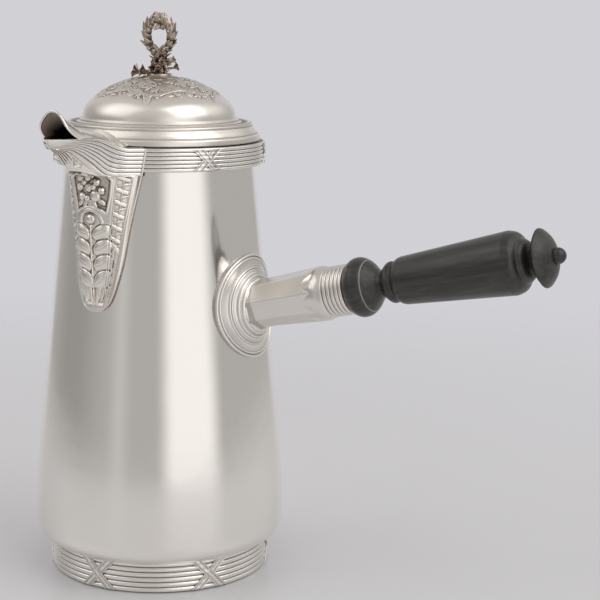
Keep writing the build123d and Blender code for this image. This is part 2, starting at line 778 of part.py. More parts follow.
def make_wood_handle():
    """One turned piece: spigot, ball, neck, bead, grip and end knob."""
    start = socket_length + ferrule_length
    ball_end = start + ball_length
    bead_start = ball_end + neck_length
    grip_start = bead_start + bead_length
    grip_end = grip_start + grip_length
    recess = grip_end + recess_length
    knob = recess + knob_gap
    knob_end = knob + knob_length
    button_top = knob_end + button_height
    button_round = (button_radius ** 2 + button_height ** 2) / (2 * button_height)
    button_middle = asin((button_round - button_height) / button_round) / 2 + pi / 4
    wood_edge = ferrule_radius - wood_set_in
    knob_back = knob - knob_hollow
    knob_rim = knob + knob_hollow
    grip_lip = grip_end_radius * GRIP_END_OUTLINE[-1][0]

    def curve(first, shares, radius, low, length, last=None):
        """Smooth outline from a point through a table of shares, and on to a last point."""
        middle = [(radius * r, low + length * z) for r, z in shares]
        return Spline(first, *middle, *([last] if last else []))

    outline = [
        Line((0, spigot_start), (spigot_radius, spigot_start)),
        Line((spigot_radius, spigot_start), (spigot_radius, start)),
        Line((spigot_radius, start), (wood_edge, start)),
        curve((wood_edge, start), BALL_OUTLINE, ball_radius, start, ball_length, (neck_radius, ball_end)),
        Line((neck_radius, ball_end), (neck_radius, bead_start)),
        curve((neck_radius, bead_start), BEAD_OUTLINE, bead_radius, bead_start, bead_length),
        curve((bead_radius * BEAD_OUTLINE[-1][0], grip_start), GRIP_START_OUTLINE, grip_start_radius,
              grip_start, grip_start_round),
        Line((grip_start_radius, grip_start + grip_start_round), (grip_end_radius, grip_end - grip_end_round)),
        curve((grip_end_radius, grip_end - grip_end_round), GRIP_END_OUTLINE, grip_end_radius,
              grip_end - grip_end_round, grip_end_round),
        curve((grip_lip, grip_end), RECESS_OUTLINE, grip_lip, grip_end, recess_length, (knob_neck_radius, recess)),
        Line((knob_neck_radius, recess), (knob_neck_radius, knob_back)),
        curve((knob_neck_radius, knob_back), KNOB_BACK_OUTLINE, knob_radius, knob_back, knob_rim - knob_back),
        curve((knob_radius, knob_rim), KNOB_FRONT_OUTLINE, knob_radius, knob_rim, knob_end - knob_rim,
              (button_radius, knob_end)),
        ThreePointArc(
            (button_radius, knob_end),
            (button_round * cos(button_middle), button_top - button_round + button_round * sin(button_middle)),
            (0, button_top),
        ),
        Line((0, button_top), (0, spigot_start)),
    ]
    return handle_axis * turned(outline) - cross_pin


# ---------------------------------------------------------------- write the pieces

pieces = {
    "body_shell": make_body_shell(),
    "bottom_plate": make_bottom_plate(),
    "foot_band": foot_ring,
    "foot_ribbons": crossed_ties(foot_ring, foot_crest_radius, 0, foot_height, tie_angles),
    "rim_band": make_rim_band(),
    "rim_ribbons": crossed_ties(
        rim_ring, rim_crest_radius, rim_height - rim_band_height, rim_height, rim_tie_angles
    ),
    "spout_beak": make_spout_beak(),
    "spout_reeds": make_spout_reeds(),
    "spout_apron": make_spout_apron(),
    "handle_plate": make_handle_plate(),
    "handle_socket": make_handle_socket(),
    "handle_ferrule": make_handle_ferrule(),
    "wood_handle": make_wood_handle(),
    "handle_cross_pin": cross_pin,
    "hinge_body_leaf": make_hinge_body_leaf(),
    "hinge_pin": make_hinge_pin(),
    "hinge_lid_leaf": make_hinge_lid_leaf(),
    "lid_cover": lid_blank - lid_hollow - screw_bore,
    "lid_bezel": make_lid_bezel(),
    "lid_hood": make_lid_hood(),
    "finial_boss": make_finial_boss(),
    "finial_stem": make_finial_stem(),
    "finial_sprays": make_finial_sprays(),
    "laurel_wreath": wreath_ring(),
    "finial_screw": make_finial_screw(),
    "finial_nut": make_finial_nut(),
}

os.makedirs("parts", exist_ok=True)
for name, shape in pieces.items():
    export_step(Compound(children=shape) if isinstance(shape, list) else shape, f"parts/{name}.step")
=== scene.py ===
# %% [markdown]
# # A silver coffee pot, dressed over its CAD frame
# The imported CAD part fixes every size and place. This lesson builds the finer shapes over it: turned and
# reeded silver, a chased lid, a relief under the spout, a laurel finial and a turned wood handle. Each new
# piece rides on the CAD body that it belongs to, so the lid still opens.

# %% Load the frame
import math
import bmesh
import bpy
import numpy as np
from mathutils import Matrix, Vector


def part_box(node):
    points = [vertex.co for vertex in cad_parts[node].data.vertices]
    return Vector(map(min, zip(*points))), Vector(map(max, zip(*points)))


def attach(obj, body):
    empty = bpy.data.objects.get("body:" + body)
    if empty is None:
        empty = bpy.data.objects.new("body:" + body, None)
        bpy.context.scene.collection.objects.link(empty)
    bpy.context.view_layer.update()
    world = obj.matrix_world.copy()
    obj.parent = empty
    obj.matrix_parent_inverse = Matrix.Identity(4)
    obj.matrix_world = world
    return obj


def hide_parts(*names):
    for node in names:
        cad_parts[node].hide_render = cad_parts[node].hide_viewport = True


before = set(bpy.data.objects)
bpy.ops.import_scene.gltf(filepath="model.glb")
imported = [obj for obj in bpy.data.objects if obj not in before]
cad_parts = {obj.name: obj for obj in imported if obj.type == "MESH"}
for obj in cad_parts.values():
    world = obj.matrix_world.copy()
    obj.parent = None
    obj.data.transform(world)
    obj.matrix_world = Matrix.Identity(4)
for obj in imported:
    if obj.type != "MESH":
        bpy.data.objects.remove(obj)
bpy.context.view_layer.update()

# %% [markdown]
# ## The camera
# A long lens from a little above flattens the pot the way a catalogue view does. The camera stands 34
# degrees round from the spout, so that the spout points left and forward and the handle runs out to the
# right. Building the camera's axes from three angles keeps the aim exact and needs no tracking constraint.

# %% Camera
VIEW_TURN = math.radians(34.0)
VIEW_DISTANCE = 0.688
VIEW_HEIGHT = 0.2419
VIEW_PITCH = math.radians(10.5)
VIEW_YAW = math.radians(4.98)
VIEW_ROLL = math.radians(0.77)
LENS = 98.16

forward = Vector((math.sin(VIEW_YAW) * math.cos(VIEW_PITCH), math.cos(VIEW_YAW) * math.cos(VIEW_PITCH),
                  -math.sin(VIEW_PITCH)))
level = Vector((math.cos(VIEW_YAW), -math.sin(VIEW_YAW), 0))
rise = level.cross(forward)
across = level * math.cos(VIEW_ROLL) + rise * math.sin(VIEW_ROLL)
upward = rise * math.cos(VIEW_ROLL) - level * math.sin(VIEW_ROLL)
axes = Matrix((across, upward, -forward)).transposed().to_4x4()
camera_data = bpy.data.cameras.new("catalogue_camera")
camera_data.lens = LENS
camera_data.clip_start = 0.01
camera = bpy.data.objects.new("catalogue_camera", camera_data)
bpy.context.scene.collection.objects.link(camera)
stand = Matrix.Translation((0, -VIEW_DISTANCE, VIEW_HEIGHT)) @ axes
camera.matrix_world = Matrix.Rotation(VIEW_TURN, 4, "Z") @ stand
bpy.context.scene.camera = camera
bpy.context.scene.view_settings.view_transform = "Standard"
print("camera at", [round(c, 3) for c in camera.matrix_world.translation])

# %% [markdown]
# ## Shader sums in plain Python
# A finish is mostly arithmetic on noise and masks. Wrapping a socket in a small class lets that arithmetic
# be written as it is on paper, so 1 - mask makes the Math node by itself. Colours go through Mix nodes,
# because a Math node would turn them grey.

# %% Shader sockets as numbers
class Signal:
    """One output socket that can be used in sums."""

    def __init__(self, shader, socket):
        self.shader = shader
        self.socket = socket

    def sum(self, operation, first, second=None, third=None):
        values = {0: first}
        if second is not None:
            values[1] = second
        if third is not None:
            values[2] = third
        return self.shader.node("ShaderNodeMath", {"operation": operation}, values, "Value")

    def __add__(self, other):
        return self.sum("ADD", self, other)

    def __radd__(self, other):
        return self.sum("ADD", other, self)

    def __sub__(self, other):
        return self.sum("SUBTRACT", self, other)

    def __rsub__(self, other):
        return self.sum("SUBTRACT", other, self)

    def __mul__(self, other):
        return self.sum("MULTIPLY", self, other)

    def __rmul__(self, other):
        return self.sum("MULTIPLY", other, self)

    def __truediv__(self, other):
        return self.sum("DIVIDE", self, other)

    def __pow__(self, other):
        return self.sum("POWER", self, other)

    def clamp(self):
        """Held between 0 and 1."""
        return self.sum("MINIMUM", self.sum("MAXIMUM", self, 0.0), 1.0)

    def ramp(self, low, high):
        """Smooth step from 0 at low to 1 at high."""
        values = {"Value": self, "From Min": low, "From Max": high}
        return self.shader.node("ShaderNodeMapRange", {"interpolation_type": "SMOOTHSTEP"}, values,
                                "Result")


# %% Node trees
class Shader:
    """A node tree with one way to add a node: its type, its settings, its sockets' values."""

    def __init__(self, tree):
        self.tree = tree
        tree.nodes.clear()

    def node(self, kind, settings=None, values=None, output=None):
        made = self.tree.nodes.new(kind)
        for key, value in (settings or {}).items():
            if key == "stops":
                for place, colour in value[1:-1]:
                    made.color_ramp.elements.new(place).color = colour
                made.color_ramp.elements[0].position, made.color_ramp.elements[0].color = value[0]
                made.color_ramp.elements[-1].position, made.color_ramp.elements[-1].color = value[-1]
            else:
                setattr(made, key, value)
        for key, value in (values or {}).items():
            if isinstance(value, Signal):
                self.tree.links.new(value.socket, made.inputs[key])
            else:
                made.inputs[key].default_value = value
        return Signal(self, made.outputs[output if output is not None else 0])

    def noise(self, place, size_mm, detail=3.0, stretch=(1, 1, 1)):
        """Noise from 0 to 1 whose lumps are about size_mm across."""
        scale = [1000 * s / size_mm for s in stretch]
        grown = self.node("ShaderNodeVectorMath", {"operation": "MULTIPLY"}, {0: place, 1: scale}, "Vector")
        return self.node("ShaderNodeTexNoise", {}, {"Vector": grown, "Scale": 1.0, "Detail": detail}, "Fac")

    def mix(self, first, second, share):
        """Colour between two colours."""
        values = {"Factor": share, 6: first, 7: second}
        return self.node("ShaderNodeMix", {"data_type": "RGBA"}, values, 2)

    def bump(self, height, depth_mm, normal=None):
        """Normal tilted by a height from 0 to 1 that is depth_mm deep."""
        values = {"Height": height, "Strength": 1.0, "Distance": depth_mm / 1000}
        if normal is not None:
            values["Normal"] = normal
        return self.node("ShaderNodeBump", {}, values, "Normal")

    def finish(self, surface, kind="ShaderNodeOutputMaterial"):
        """Ends the tree with its output."""
        end = self.tree.nodes.new(kind)
        self.tree.links.new(surface.socket, end.inputs["Surface"])


def new_material(name):
    """An empty node material and its shader."""
    material = bpy.data.materials.new(name)
    material.use_nodes = True
    return material, Shader(material.node_tree)


print("shader helpers ready")

# %% [markdown]
# ## The studio
# Silver is a mirror, so what stands round the pot is half of its look. In a studio it is wrapped in pale
# card, with one large soft box to the right of the lens and two more higher up at the sides. A dark card
# far to the left draws the edge of the silver, and a narrow white one beside the lens adds a thin second
# band. Painting these few cards into the world, by compass direction and height, gives long clean bands
# down the pot with soft edges. Two broad lamps from above add the soft shadow.

# %% World
def grey(level, warmth=0.0):
    """A grey with a little warmth, as a colour."""
    return (level * (1 + warmth), level, level * (1 - warmth), 1)


world = bpy.data.worlds.new("studio")
bpy.context.scene.world = world
world.use_nodes = True
air = Shader(world.node_tree)
look = air.node("ShaderNodeTexCoord", {}, {}, "Generated")
turned_look = air.node("ShaderNodeVectorRotate", {"rotation_type": "Z_AXIS"},
                       {"Vector": look, "Angle": -VIEW_TURN}, "Vector")
parts = air.node("ShaderNodeSeparateXYZ", {}, {"Vector": turned_look}, "X")
split = parts.socket.node
look_x = Signal(air, split.outputs["X"])
look_y = Signal(air, split.outputs["Y"])
look_z = Signal(air, split.outputs["Z"])
compass = look_x.sum("ARCTAN2", look_x, look_y * -1.0)
rise_angle = look_z.sum("ARCSINE", look_z) * (180 / math.pi)

BACKDROP = (0.640, 0.632, 0.668, 1)
degrees = compass * (180 / math.pi)


def panel(turn, half_turn, edge):
    """Mask of an upright card: its direction right of the lens and its half width, in degrees."""
    here = degrees - turn
    return here.sum("ABSOLUTE", here).ramp(half_turn + edge, half_turn - edge)


room = grey(0.42, 0.02)
dark_card = grey(0.30, 0.02)
strip_card = grey(0.55, 0.02)
key_box = grey(0.95, 0.02)
card = air.mix(room, dark_card, panel(-100, 30, 25))
card = air.mix(card, strip_card, panel(-40, 5, 10))
card = air.mix(card, key_box, panel(30, 25, 10))
card = air.mix(card, BACKDROP, degrees.sum("ABSOLUTE", degrees).ramp(140, 155))


# %% High soft boxes
def soft_box(turn, half_turn, height, half_height, edge):
    """Mask of a soft box: its compass direction, its height and their half sizes, in degrees."""
    here = degrees - turn
    aside = here.sum("ABSOLUTE", here).ramp(half_turn + edge, half_turn - edge)
    above = (rise_angle - height)
    over = above.sum("ABSOLUTE", above).ramp(half_height + edge, half_height - edge)
    return aside * over


overhead = rise_angle.ramp(14, 38)
ceiling = grey(0.52, 0.03)
light = air.mix(card, ceiling, overhead)
light = air.mix(light, grey(0.80, 0.02), soft_box(-98, 20, 34, 13, 16))
light = air.mix(light, grey(0.88, 0.02), soft_box(104, 22, 32, 13, 16))
background = air.node("ShaderNodeBackground", {}, {"Color": light, "Strength": 1.0}, "Background")
air.finish(background, "ShaderNodeOutputWorld")
print("room painted with four cards and two high soft boxes")

# %% [markdown]
# The pot stands on a broad sheet of pale card. Its edge fades out, so that it runs into the backdrop with
# no line, and a slight gloss gives the soft mirror of the foot that a waxed table has.

# %% Floor and lamps
FLOOR_RADIUS = 0.75
floor_mesh = bpy.data.meshes.new("pale_floor")
floor_build = bmesh.new()
bmesh.ops.create_circle(floor_build, cap_ends=True, segments=96, radius=FLOOR_RADIUS)
floor_build.to_mesh(floor_mesh)
floor_build.free()
floor = bpy.data.objects.new("pale_floor", floor_mesh)
floor.location.z = -0.0002
bpy.context.scene.collection.objects.link(floor)
card_material, sheet = new_material("pale_card")
floor_place = sheet.node("ShaderNodeTexCoord", {}, {}, "Object")
from_middle = sheet.node("ShaderNodeVectorMath", {"operation": "LENGTH"}, {0: floor_place}, "Value")
mottle = sheet.noise(floor_place, 60.0)
card_colour = sheet.mix((0.75, 0.75, 0.77, 1), (0.79, 0.79, 0.81, 1), mottle)
card_gloss = 0.26 + mottle * 0.06
card_face = sheet.node("ShaderNodeBsdfPrincipled", {}, {"Base Color": card_colour, "Roughness": card_gloss},
                       "BSDF")
clear = sheet.node("ShaderNodeBsdfTransparent", {}, {}, "BSDF")
fade = from_middle.ramp(0.20, FLOOR_RADIUS * 0.97)
card_surface = sheet.node("ShaderNodeMixShader", {}, {0: fade, 1: card_face, 2: clear}, "Shader")
sheet.finish(card_surface)
floor_mesh.materials.append(card_material)


def soft_lamp(name, place, aim, size, watts):
    """A square area lamp aimed at a point."""
    lamp = bpy.data.lights.new(name, "AREA")
    lamp.shape = "SQUARE"
    lamp.size = size
    lamp.energy = watts
    holder = bpy.data.objects.new(name, lamp)
    holder.location = place
    holder.rotation_euler = (Vector(aim) - Vector(place)).to_track_quat("-Z", "Y").to_euler()
    bpy.context.scene.collection.objects.link(holder)
    return holder


lamp_turn = Matrix.Rotation(VIEW_TURN, 3, "Z")
soft_lamp("upper_right_lamp", lamp_turn @ Vector((0.75, -0.55, 1.15)), (0, 0, 0.1), 1.15, 5.0)
soft_lamp("upper_left_lamp", lamp_turn @ Vector((-0.9, -0.2, 1.0)), (0, 0, 0.1), 1.1, 2.0)
print("floor and lamps placed")

# %% [markdown]
# ## Sheets of points
# Nearly every piece is a sheet: rows of points that follow an outline and columns that carry it round or
# along. Numpy works out all the points at once, and one helper turns any number of sheets into a mesh. Each
# point also carries a number, hollow, which says how deep it lies in the relief. The finishes read it to
# put tarnish where a polishing cloth never reaches. On the finial's leaves and inside the hood's mouth the
# same number also carries painted shade.

# %% Sheets into pieces
MM = 0.001


def sheet_of(grid, wrap_rows=False, wrap_columns=False, hollow=0.0):
    """A sheet: its points in mm, which ways it closes on itself, and its hollow at each point."""
    grid = np.asarray(grid, float)
    depth = np.broadcast_to(np.asarray(hollow, float), grid.shape[:2])
    return grid, wrap_rows, wrap_columns, depth


def make_piece(name, sheets, body, material, replaces=(), sharp=35):
    """One object from sheets. It rides on a CAD body and stands for the CAD nodes named."""
    points, faces, hollows, start = [], [], [], 0
    for grid, wrap_rows, wrap_columns, depth in sheets:
        rows, columns = grid.shape[:2]
        index = np.arange(rows * columns).reshape(rows, columns) + start
        if wrap_rows:
            index = np.vstack([index, index[:1]])
        if wrap_columns:
            index = np.hstack([index, index[:, :1]])
        quads = np.stack([index[:-1, :-1], index[:-1, 1:], index[1:, 1:], index[1:, :-1]], -1)
        points.append(grid.reshape(-1, 3) * MM)
        faces.append(quads.reshape(-1, 4))
        hollows.append(depth.reshape(-1))
        start += rows * columns
    mesh = bpy.data.meshes.new(name)
    corners = np.concatenate(faces)
    vertices = np.concatenate(points)
    mesh.vertices.add(len(vertices))
    mesh.vertices.foreach_set("co", vertices.ravel())
    mesh.loops.add(corners.size)
    mesh.loops.foreach_set("vertex_index", corners.ravel())
    mesh.polygons.add(len(corners))
    mesh.polygons.foreach_set("loop_start", np.arange(0, corners.size, 4))
    mesh.update(calc_edges=True)
    attribute = mesh.attributes.new("hollow", "FLOAT", "POINT")
    attribute.data.foreach_set("value", np.concatenate(hollows).astype(np.float32))
    tidy = bmesh.new()
    tidy.from_mesh(mesh)
    bmesh.ops.remove_doubles(tidy, verts=tidy.verts, dist=1e-6)
    bmesh.ops.recalc_face_normals(tidy, faces=tidy.faces)
    tidy.to_mesh(mesh)
    tidy.free()
    mesh.shade_smooth()
    mesh.set_sharp_from_angle(angle=math.radians(sharp))
    mesh.materials.append(material)
    piece = bpy.data.objects.new(name, mesh)
    bpy.context.scene.collection.objects.link(piece)
    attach(piece, body)
    if replaces:
        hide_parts(*replaces)
    print(name, len(mesh.polygons), "faces")
    return piece


# %% Lines, arcs and turned shapes
def smooth_line(places, values, at):
    """Smooth curve through points that doesn't overshoot, read at the places given."""
    x = np.asarray(places, float)
    y = np.asarray(values, float)
    step = np.diff(x)
    slope = np.diff(y) / step
    lean = np.zeros(len(x))
    same = slope[:-1] * slope[1:] > 0
    pair = np.where(same, slope[:-1] * slope[1:], 0)
    lean[1:-1] = np.where(same, 2 * pair / np.where(same, slope[:-1] + slope[1:], 1), 0)
    lean[0] = slope[0]
    lean[-1] = slope[-1]
    at = np.clip(np.asarray(at, float), x[0], x[-1])
    i = np.clip(np.searchsorted(x, at, side="right") - 1, 0, len(x) - 2)
    t = (at - x[i]) / step[i]
    keep = (1 + 2 * t) * (1 - t) ** 2 * y[i] + t * t * (3 - 2 * t) * y[i + 1]
    bend = t * (1 - t) ** 2 * step[i] * lean[i] + t * t * (t - 1) * step[i] * lean[i + 1]
    return keep + bend


def arc_points(centre, radius, start, end, count):
    """Points of an arc in radius and height, from one angle to another in degrees."""
    turn = np.radians(np.linspace(start, end, count))
    return np.stack([centre[0] + radius * np.cos(turn), centre[1] + radius * np.sin(turn)], 1)


def turned_grid(outline, turns):
    """Points of a turned shape about +Z: one row for each point of the outline."""
    turn = np.linspace(0, 2 * math.pi, turns, endpoint=False)
    radius = outline[:, 0, None]
    height = np.broadcast_to(outline[:, 1, None], (len(outline), turns))
    return np.stack([radius * np.cos(turn), radius * np.sin(turn), height], -1)


def node_box(name):
    """Lowest and highest corners of a CAD node, in mm."""
    low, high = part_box(name)
    return np.array(low) / MM, np.array(high) / MM


print("sheet helpers ready")

# %% [markdown]
# ## Finishes
# All the silver is one recipe: a warm white metal with faint cloudy changes of gloss, hair-fine wiping
# scratches and very shallow waves from the hammer. Tarnish is brown, and it fills the hollows. Where the
# hollow number holds painted shade, on the finial's leaves and deep in the hood's mouth, the same brown
# paints that shade. The recipe takes different amounts for the polished body, the chased work and the
# darkened finial.

# %% Silver
SILVER = (0.945, 0.915, 0.875, 1)
TARNISH_AND_SHADE_COLOUR = (0.135, 0.094, 0.062, 1)


def silver_finish(name, tone, gloss, tarnish, wave_mm, mottled=0.0, patina_and_shade_colour=TARNISH_AND_SHADE_COLOUR, metallic=1.0):
    """Silver: its colour, its roughness, how much its hollows darken, and the depth of its waves."""
    material, metal = new_material(name)
    place = metal.node("ShaderNodeTexCoord", {}, {}, "Object")
    hollow = metal.node("ShaderNodeAttribute", {"attribute_name": "hollow"}, {}, "Fac")
    cloud = metal.noise(place, 9.0, 4.0)
    speck = metal.noise(place, 0.8, 3.0)
    # Hollows darken to the tarnish colour: real tarnish in the relief, and painted shade where the hollow
    # number holds shade.
    tarnish_and_painted_shade = (hollow * tarnish * (0.55 + speck * 0.9)).clamp()
    bloom = ((cloud - 0.45) * mottled).clamp()
    stain_and_painted_shade = tarnish_and_painted_shade.sum("MAXIMUM", tarnish_and_painted_shade, bloom)
    colour = metal.mix(tone, patina_and_shade_colour, stain_and_painted_shade)
    scratch = metal.noise(place, 1.1, 2.0, (0.15, 0.15, 2.4))
    rough = gloss + (cloud - 0.5) * 0.05 + (scratch - 0.5) * 0.03 + stain_and_painted_shade * 0.35
    waves = metal.noise(place, 21.0, 1.0)
    dents = metal.noise(place, 5.5, 1.0)
    hammered = metal.bump(waves + dents * 0.12, wave_mm)
    finish = metal.node("ShaderNodeBsdfPrincipled", {}, {
        "Base Color": colour, "Metallic": metallic, "Roughness": rough.clamp(), "Normal": hammered}, "BSDF")
    metal.finish(finish)
    return material


polished = silver_finish("polished_silver", SILVER, 0.115, 0.75, 0.10)
soft_polished = silver_finish("mount_silver", SILVER, 0.19, 0.85, 0.05)
plate_silver = silver_finish("plate_silver", (0.90, 0.87, 0.83, 1), 0.24, 0.85, 0.05)
chased = silver_finish("chased_silver", (0.91, 0.87, 0.815, 1), 0.20, 1.0, 0.05, 0.05)
oxidised = silver_finish("oxidised_silver", (0.66, 0.56, 0.48, 1), 0.25, 1.15, 0.06, 0.5)
chased_lid = silver_finish("chased_lid_silver", (0.895, 0.85, 0.795, 1), 0.31, 0.95, 0.06)
socket_silver = silver_finish("socket_silver", (0.82, 0.785, 0.745, 1), 0.23, 0.9, 0.05, 0.08)
hood_silver = silver_finish("hood_silver", SILVER, 0.18, 0.85, 0.05)
# The hood lining: brown tarnish, with a near-black colour that deep in the hood's mouth paints shade.
lining = silver_finish("hood_lining_patina_and_shade", (0.62, 0.50, 0.41, 1), 0.36, 1.3, 0.12, 1.5,
                       (0.020, 0.015, 0.011, 1), 0.45)
stained = silver_finish("stained_silver", (0.20, 0.15, 0.11, 1), 0.42, 1.0, 0.05, 1.2)

# %% [markdown]
# The handle is a close-grained black wood. Its grain runs along the handle, so the noise is stretched along
# that axis, and the wax on it is a thin coat that softens the highlights.

# %% Ebony
HANDLE_TILT = math.radians(13.7)


def ebony_finish(name):
    """Black wood with lengthwise grain, pores and a waxed coat."""
    material, wood = new_material(name)
    place = wood.node("ShaderNodeTexCoord", {}, {}, "Object")
    along = wood.node("ShaderNodeVectorRotate", {"rotation_type": "Y_AXIS"},
                      {"Vector": place, "Angle": HANDLE_TILT}, "Vector")
    hollow = wood.node("ShaderNodeAttribute", {"attribute_name": "hollow"}, {}, "Fac")
    grain = wood.noise(along, 1.5, 5.0, (0.07, 1, 1))
    pores = wood.noise(along, 0.45, 3.0, (0.06, 1, 1))
    wear = wood.noise(along, 11.0, 4.0)
    streak = ((grain - 0.42) * 2.2).clamp()
    colour = wood.mix((0.017, 0.0165, 0.0145, 1), (0.064, 0.061, 0.052, 1), streak * (0.5 + wear * 0.8))
    colour = wood.mix(colour, (0.42, 0.40, 0.37, 1), hollow.clamp())
    rough = 0.36 + (wear - 0.5) * 0.22 + (pores - 0.5) * 0.22
    height = pores.ramp(0.30, 0.50) * 0.6 + grain * 0.4
    normal = wood.bump(height, 0.035)
    finish = wood.node("ShaderNodeBsdfPrincipled", {}, {
        "Base Color": colour, "Roughness": rough.clamp(), "Normal": normal, "Coat Weight": 0.25,
        "Coat Roughness": 0.30}, "BSDF")
    wood.finish(finish)
    return material


ebony = ebony_finish("ebony")
print("finishes:", [m.name for m in bpy.data.materials if m.use_nodes][-6:])

# %% [markdown]
# ## The body
# The body is one sheet of silver, raised over stakes: a straight taper that swells at the belly and turns
# in to the foot. A turned sheet with an outside and an inside gives the wall its real thickness. Behind the
# spout the wall is open, so the faces there are left out and the columns beside the gap are moved onto its
# edges.

# %% Body shell
WALL = 1.0
_, shell_high = node_box("body_shell")
_, foot_high = node_box("foot_band")
RIM = shell_high[2]
BELLY_RADIUS = shell_high[0]
FOOT_TOP = foot_high[2]
RIM_RADIUS = 39.0
SHOULDER = (51.6, 52.0)
BELLY_ROUND = 8.0
BELLY_TURN = 70.0
SPOUT_FLOOR = RIM - 11.0
NOTCH_LOW = RIM - 38.0
NOTCH_HALF = 11.0
TAPER = math.atan((SHOULDER[0] - RIM_RADIUS) / (RIM - SHOULDER[1]))


def wall_radius(height):
    """Outside radius of the straight taper at a height."""
    return RIM_RADIUS + (RIM - height) * math.tan(TAPER)


def body_outline(inset, floor):
    """The body's outline drawn in by inset, from the rim down to a floor."""
    belly = FOOT_TOP + BELLY_ROUND * math.sin(math.radians(BELLY_TURN))
    swell = (SHOULDER[1] - belly) / math.sin(TAPER)
    turn = BELLY_ROUND - inset
    straight = np.linspace((RIM_RADIUS - inset, RIM), (SHOULDER[0] - inset, SHOULDER[1]), 90)[:-1]
    swelling = arc_points((BELLY_RADIUS - swell, belly), swell - inset, math.degrees(TAPER), 0, 28)[:-1]
    low = -math.degrees(math.asin((belly - floor) / turn))
    return np.vstack([straight, swelling,
                      arc_points((BELLY_RADIUS - BELLY_ROUND, belly), turn, 0, low, 16)])


outside = body_outline(0, FOOT_TOP + 0.02)
inside = body_outline(WALL, FOOT_TOP + WALL)
rim_round = arc_points((RIM_RADIUS - WALL / 2, RIM - WALL / 2), WALL / 2, 170, 10, 9)
section = np.vstack([rim_round, outside[2:], [[41.5, FOOT_TOP + 0.02], [41.5, FOOT_TOP + WALL]],
                     inside[::-1][:-2]])
# %% Cut the notch and raise the wall
TURNS = 360
turn_angle = np.linspace(0, 2 * math.pi, TURNS, endpoint=False)
height = section[:, 1]
half_gap = np.clip(NOTCH_HALF * (height - NOTCH_LOW) / (SPOUT_FLOOR - NOTCH_LOW), 0, NOTCH_HALF)
gap_turn = np.degrees(np.arcsin(half_gap / section[:, 0]))
offset = (np.degrees(turn_angle) + 90 + 180) % 360 - 180
keep = np.abs(offset)[None, :] >= gap_turn[:, None] - 0.5
moved = np.where(keep, offset[None, :], np.sign(offset + 1e-9)[None, :] * gap_turn[:, None])
edge = (np.abs(offset)[None, :] < gap_turn[:, None] + 0.5) & keep
moved = np.where(edge, np.sign(offset)[None, :] * gap_turn[:, None], moved)
angle = np.radians(moved - 90)
radius = section[:, 0, None]
shell = np.stack([radius * np.cos(angle), radius * np.sin(angle),
                  np.broadcast_to(height[:, None], angle.shape)], -1)
inner_rows = np.arange(len(section)) >= len(rim_round) + len(outside)
shade = np.where(inner_rows, 0.75, 0.0)[:, None] * np.ones(TURNS)
make_piece("raised_body", [sheet_of(shell, True, True, shade)], "pot",
                        polished,
                        ["body_shell"])

# %% [markdown]
# ## Reeded bands
# Both bands are drawn wire: six half-round reeds side by side. The outline of one band is a row of arcs,
# turned round the pot. The rim band stops at the spout, so its columns run from one joint round the back to
# the other, and a small raised bead covers each joint.

# %% Reeded outline and round bars
REED_FULLNESS = 0.42
REEDS = 6


def reed_profile(inner, crest, low, high, reeds=REEDS, samples=11):
    """Closed outline of a reeded band, and how deep each point lies between the reeds."""
    pitch = (high - low) / reeds
    relief = REED_FULLNESS * pitch
    bend = (relief ** 2 + (pitch / 2) ** 2) / (2 * relief)
    half_turn = math.asin(min(1.0, pitch / 2 / bend))
    turn = np.linspace(-half_turn, half_turn, samples)
    rows = [[inner, low]]
    depth = [1.0]
    for reed in range(reeds):
        middle = low + (reed + 0.5) * pitch
        for t in (turn[:-1] if reed < reeds - 1 else turn):
            rows.append([crest - bend + bend * math.cos(t), middle + bend * math.sin(t)])
            depth.append(max(0.0, 1 - (bend * math.cos(t) - bend + relief) / relief * 1.35) ** 1.2)
    rows.append([inner, high])
    depth.append(0.6)
    return np.array(rows), np.array(depth)


def bar(path, radius, sides=10, hollow=0.0):
    """Round bar along a path. Its radius may change along it, and its ends are closed."""
    path = np.asarray(path, float)
    radius = np.broadcast_to(np.asarray(radius, float), len(path)).copy()
    way = np.gradient(path, axis=0)
    way /= np.linalg.norm(way, axis=1)[:, None]
    side = np.cross(way, (0.31, 0.17, 0.94))
    side /= np.linalg.norm(side, axis=1)[:, None]
    other = np.cross(way, side)
    path = np.vstack([path[:1], path, path[-1:]])
    side = np.vstack([side[:1], side, side[-1:]])
    other = np.vstack([other[:1], other, other[-1:]])
    radius = np.concatenate([[1e-4], radius, [1e-4]])
    turn = np.linspace(0, 2 * math.pi, sides, endpoint=False)
    ring = side[:, None] * np.cos(turn)[None, :, None] + other[:, None] * np.sin(turn)[None, :, None]
    return sheet_of(path[:, None] + radius[:, None, None] * ring, False, True, hollow)


# %% Foot and rim bands
FOOT_CREST = foot_high[0]
FOOT_BORE = 43.0
RIM_BAND_LOW = node_box("rim_band")[0][2]
RIM_CREST = node_box("rim_band")[1][0]
JOINT_TOP = 27.0
JOINT_FOOT = 25.0

foot_outline, foot_depth = reed_profile(FOOT_BORE, FOOT_CREST, 0, FOOT_TOP)
foot_rings = turned_grid(foot_outline, 420)
make_piece("foot_reeding", [sheet_of(foot_rings, True, True, foot_depth[:, None])], "pot",
           soft_polished, ["foot_band"])

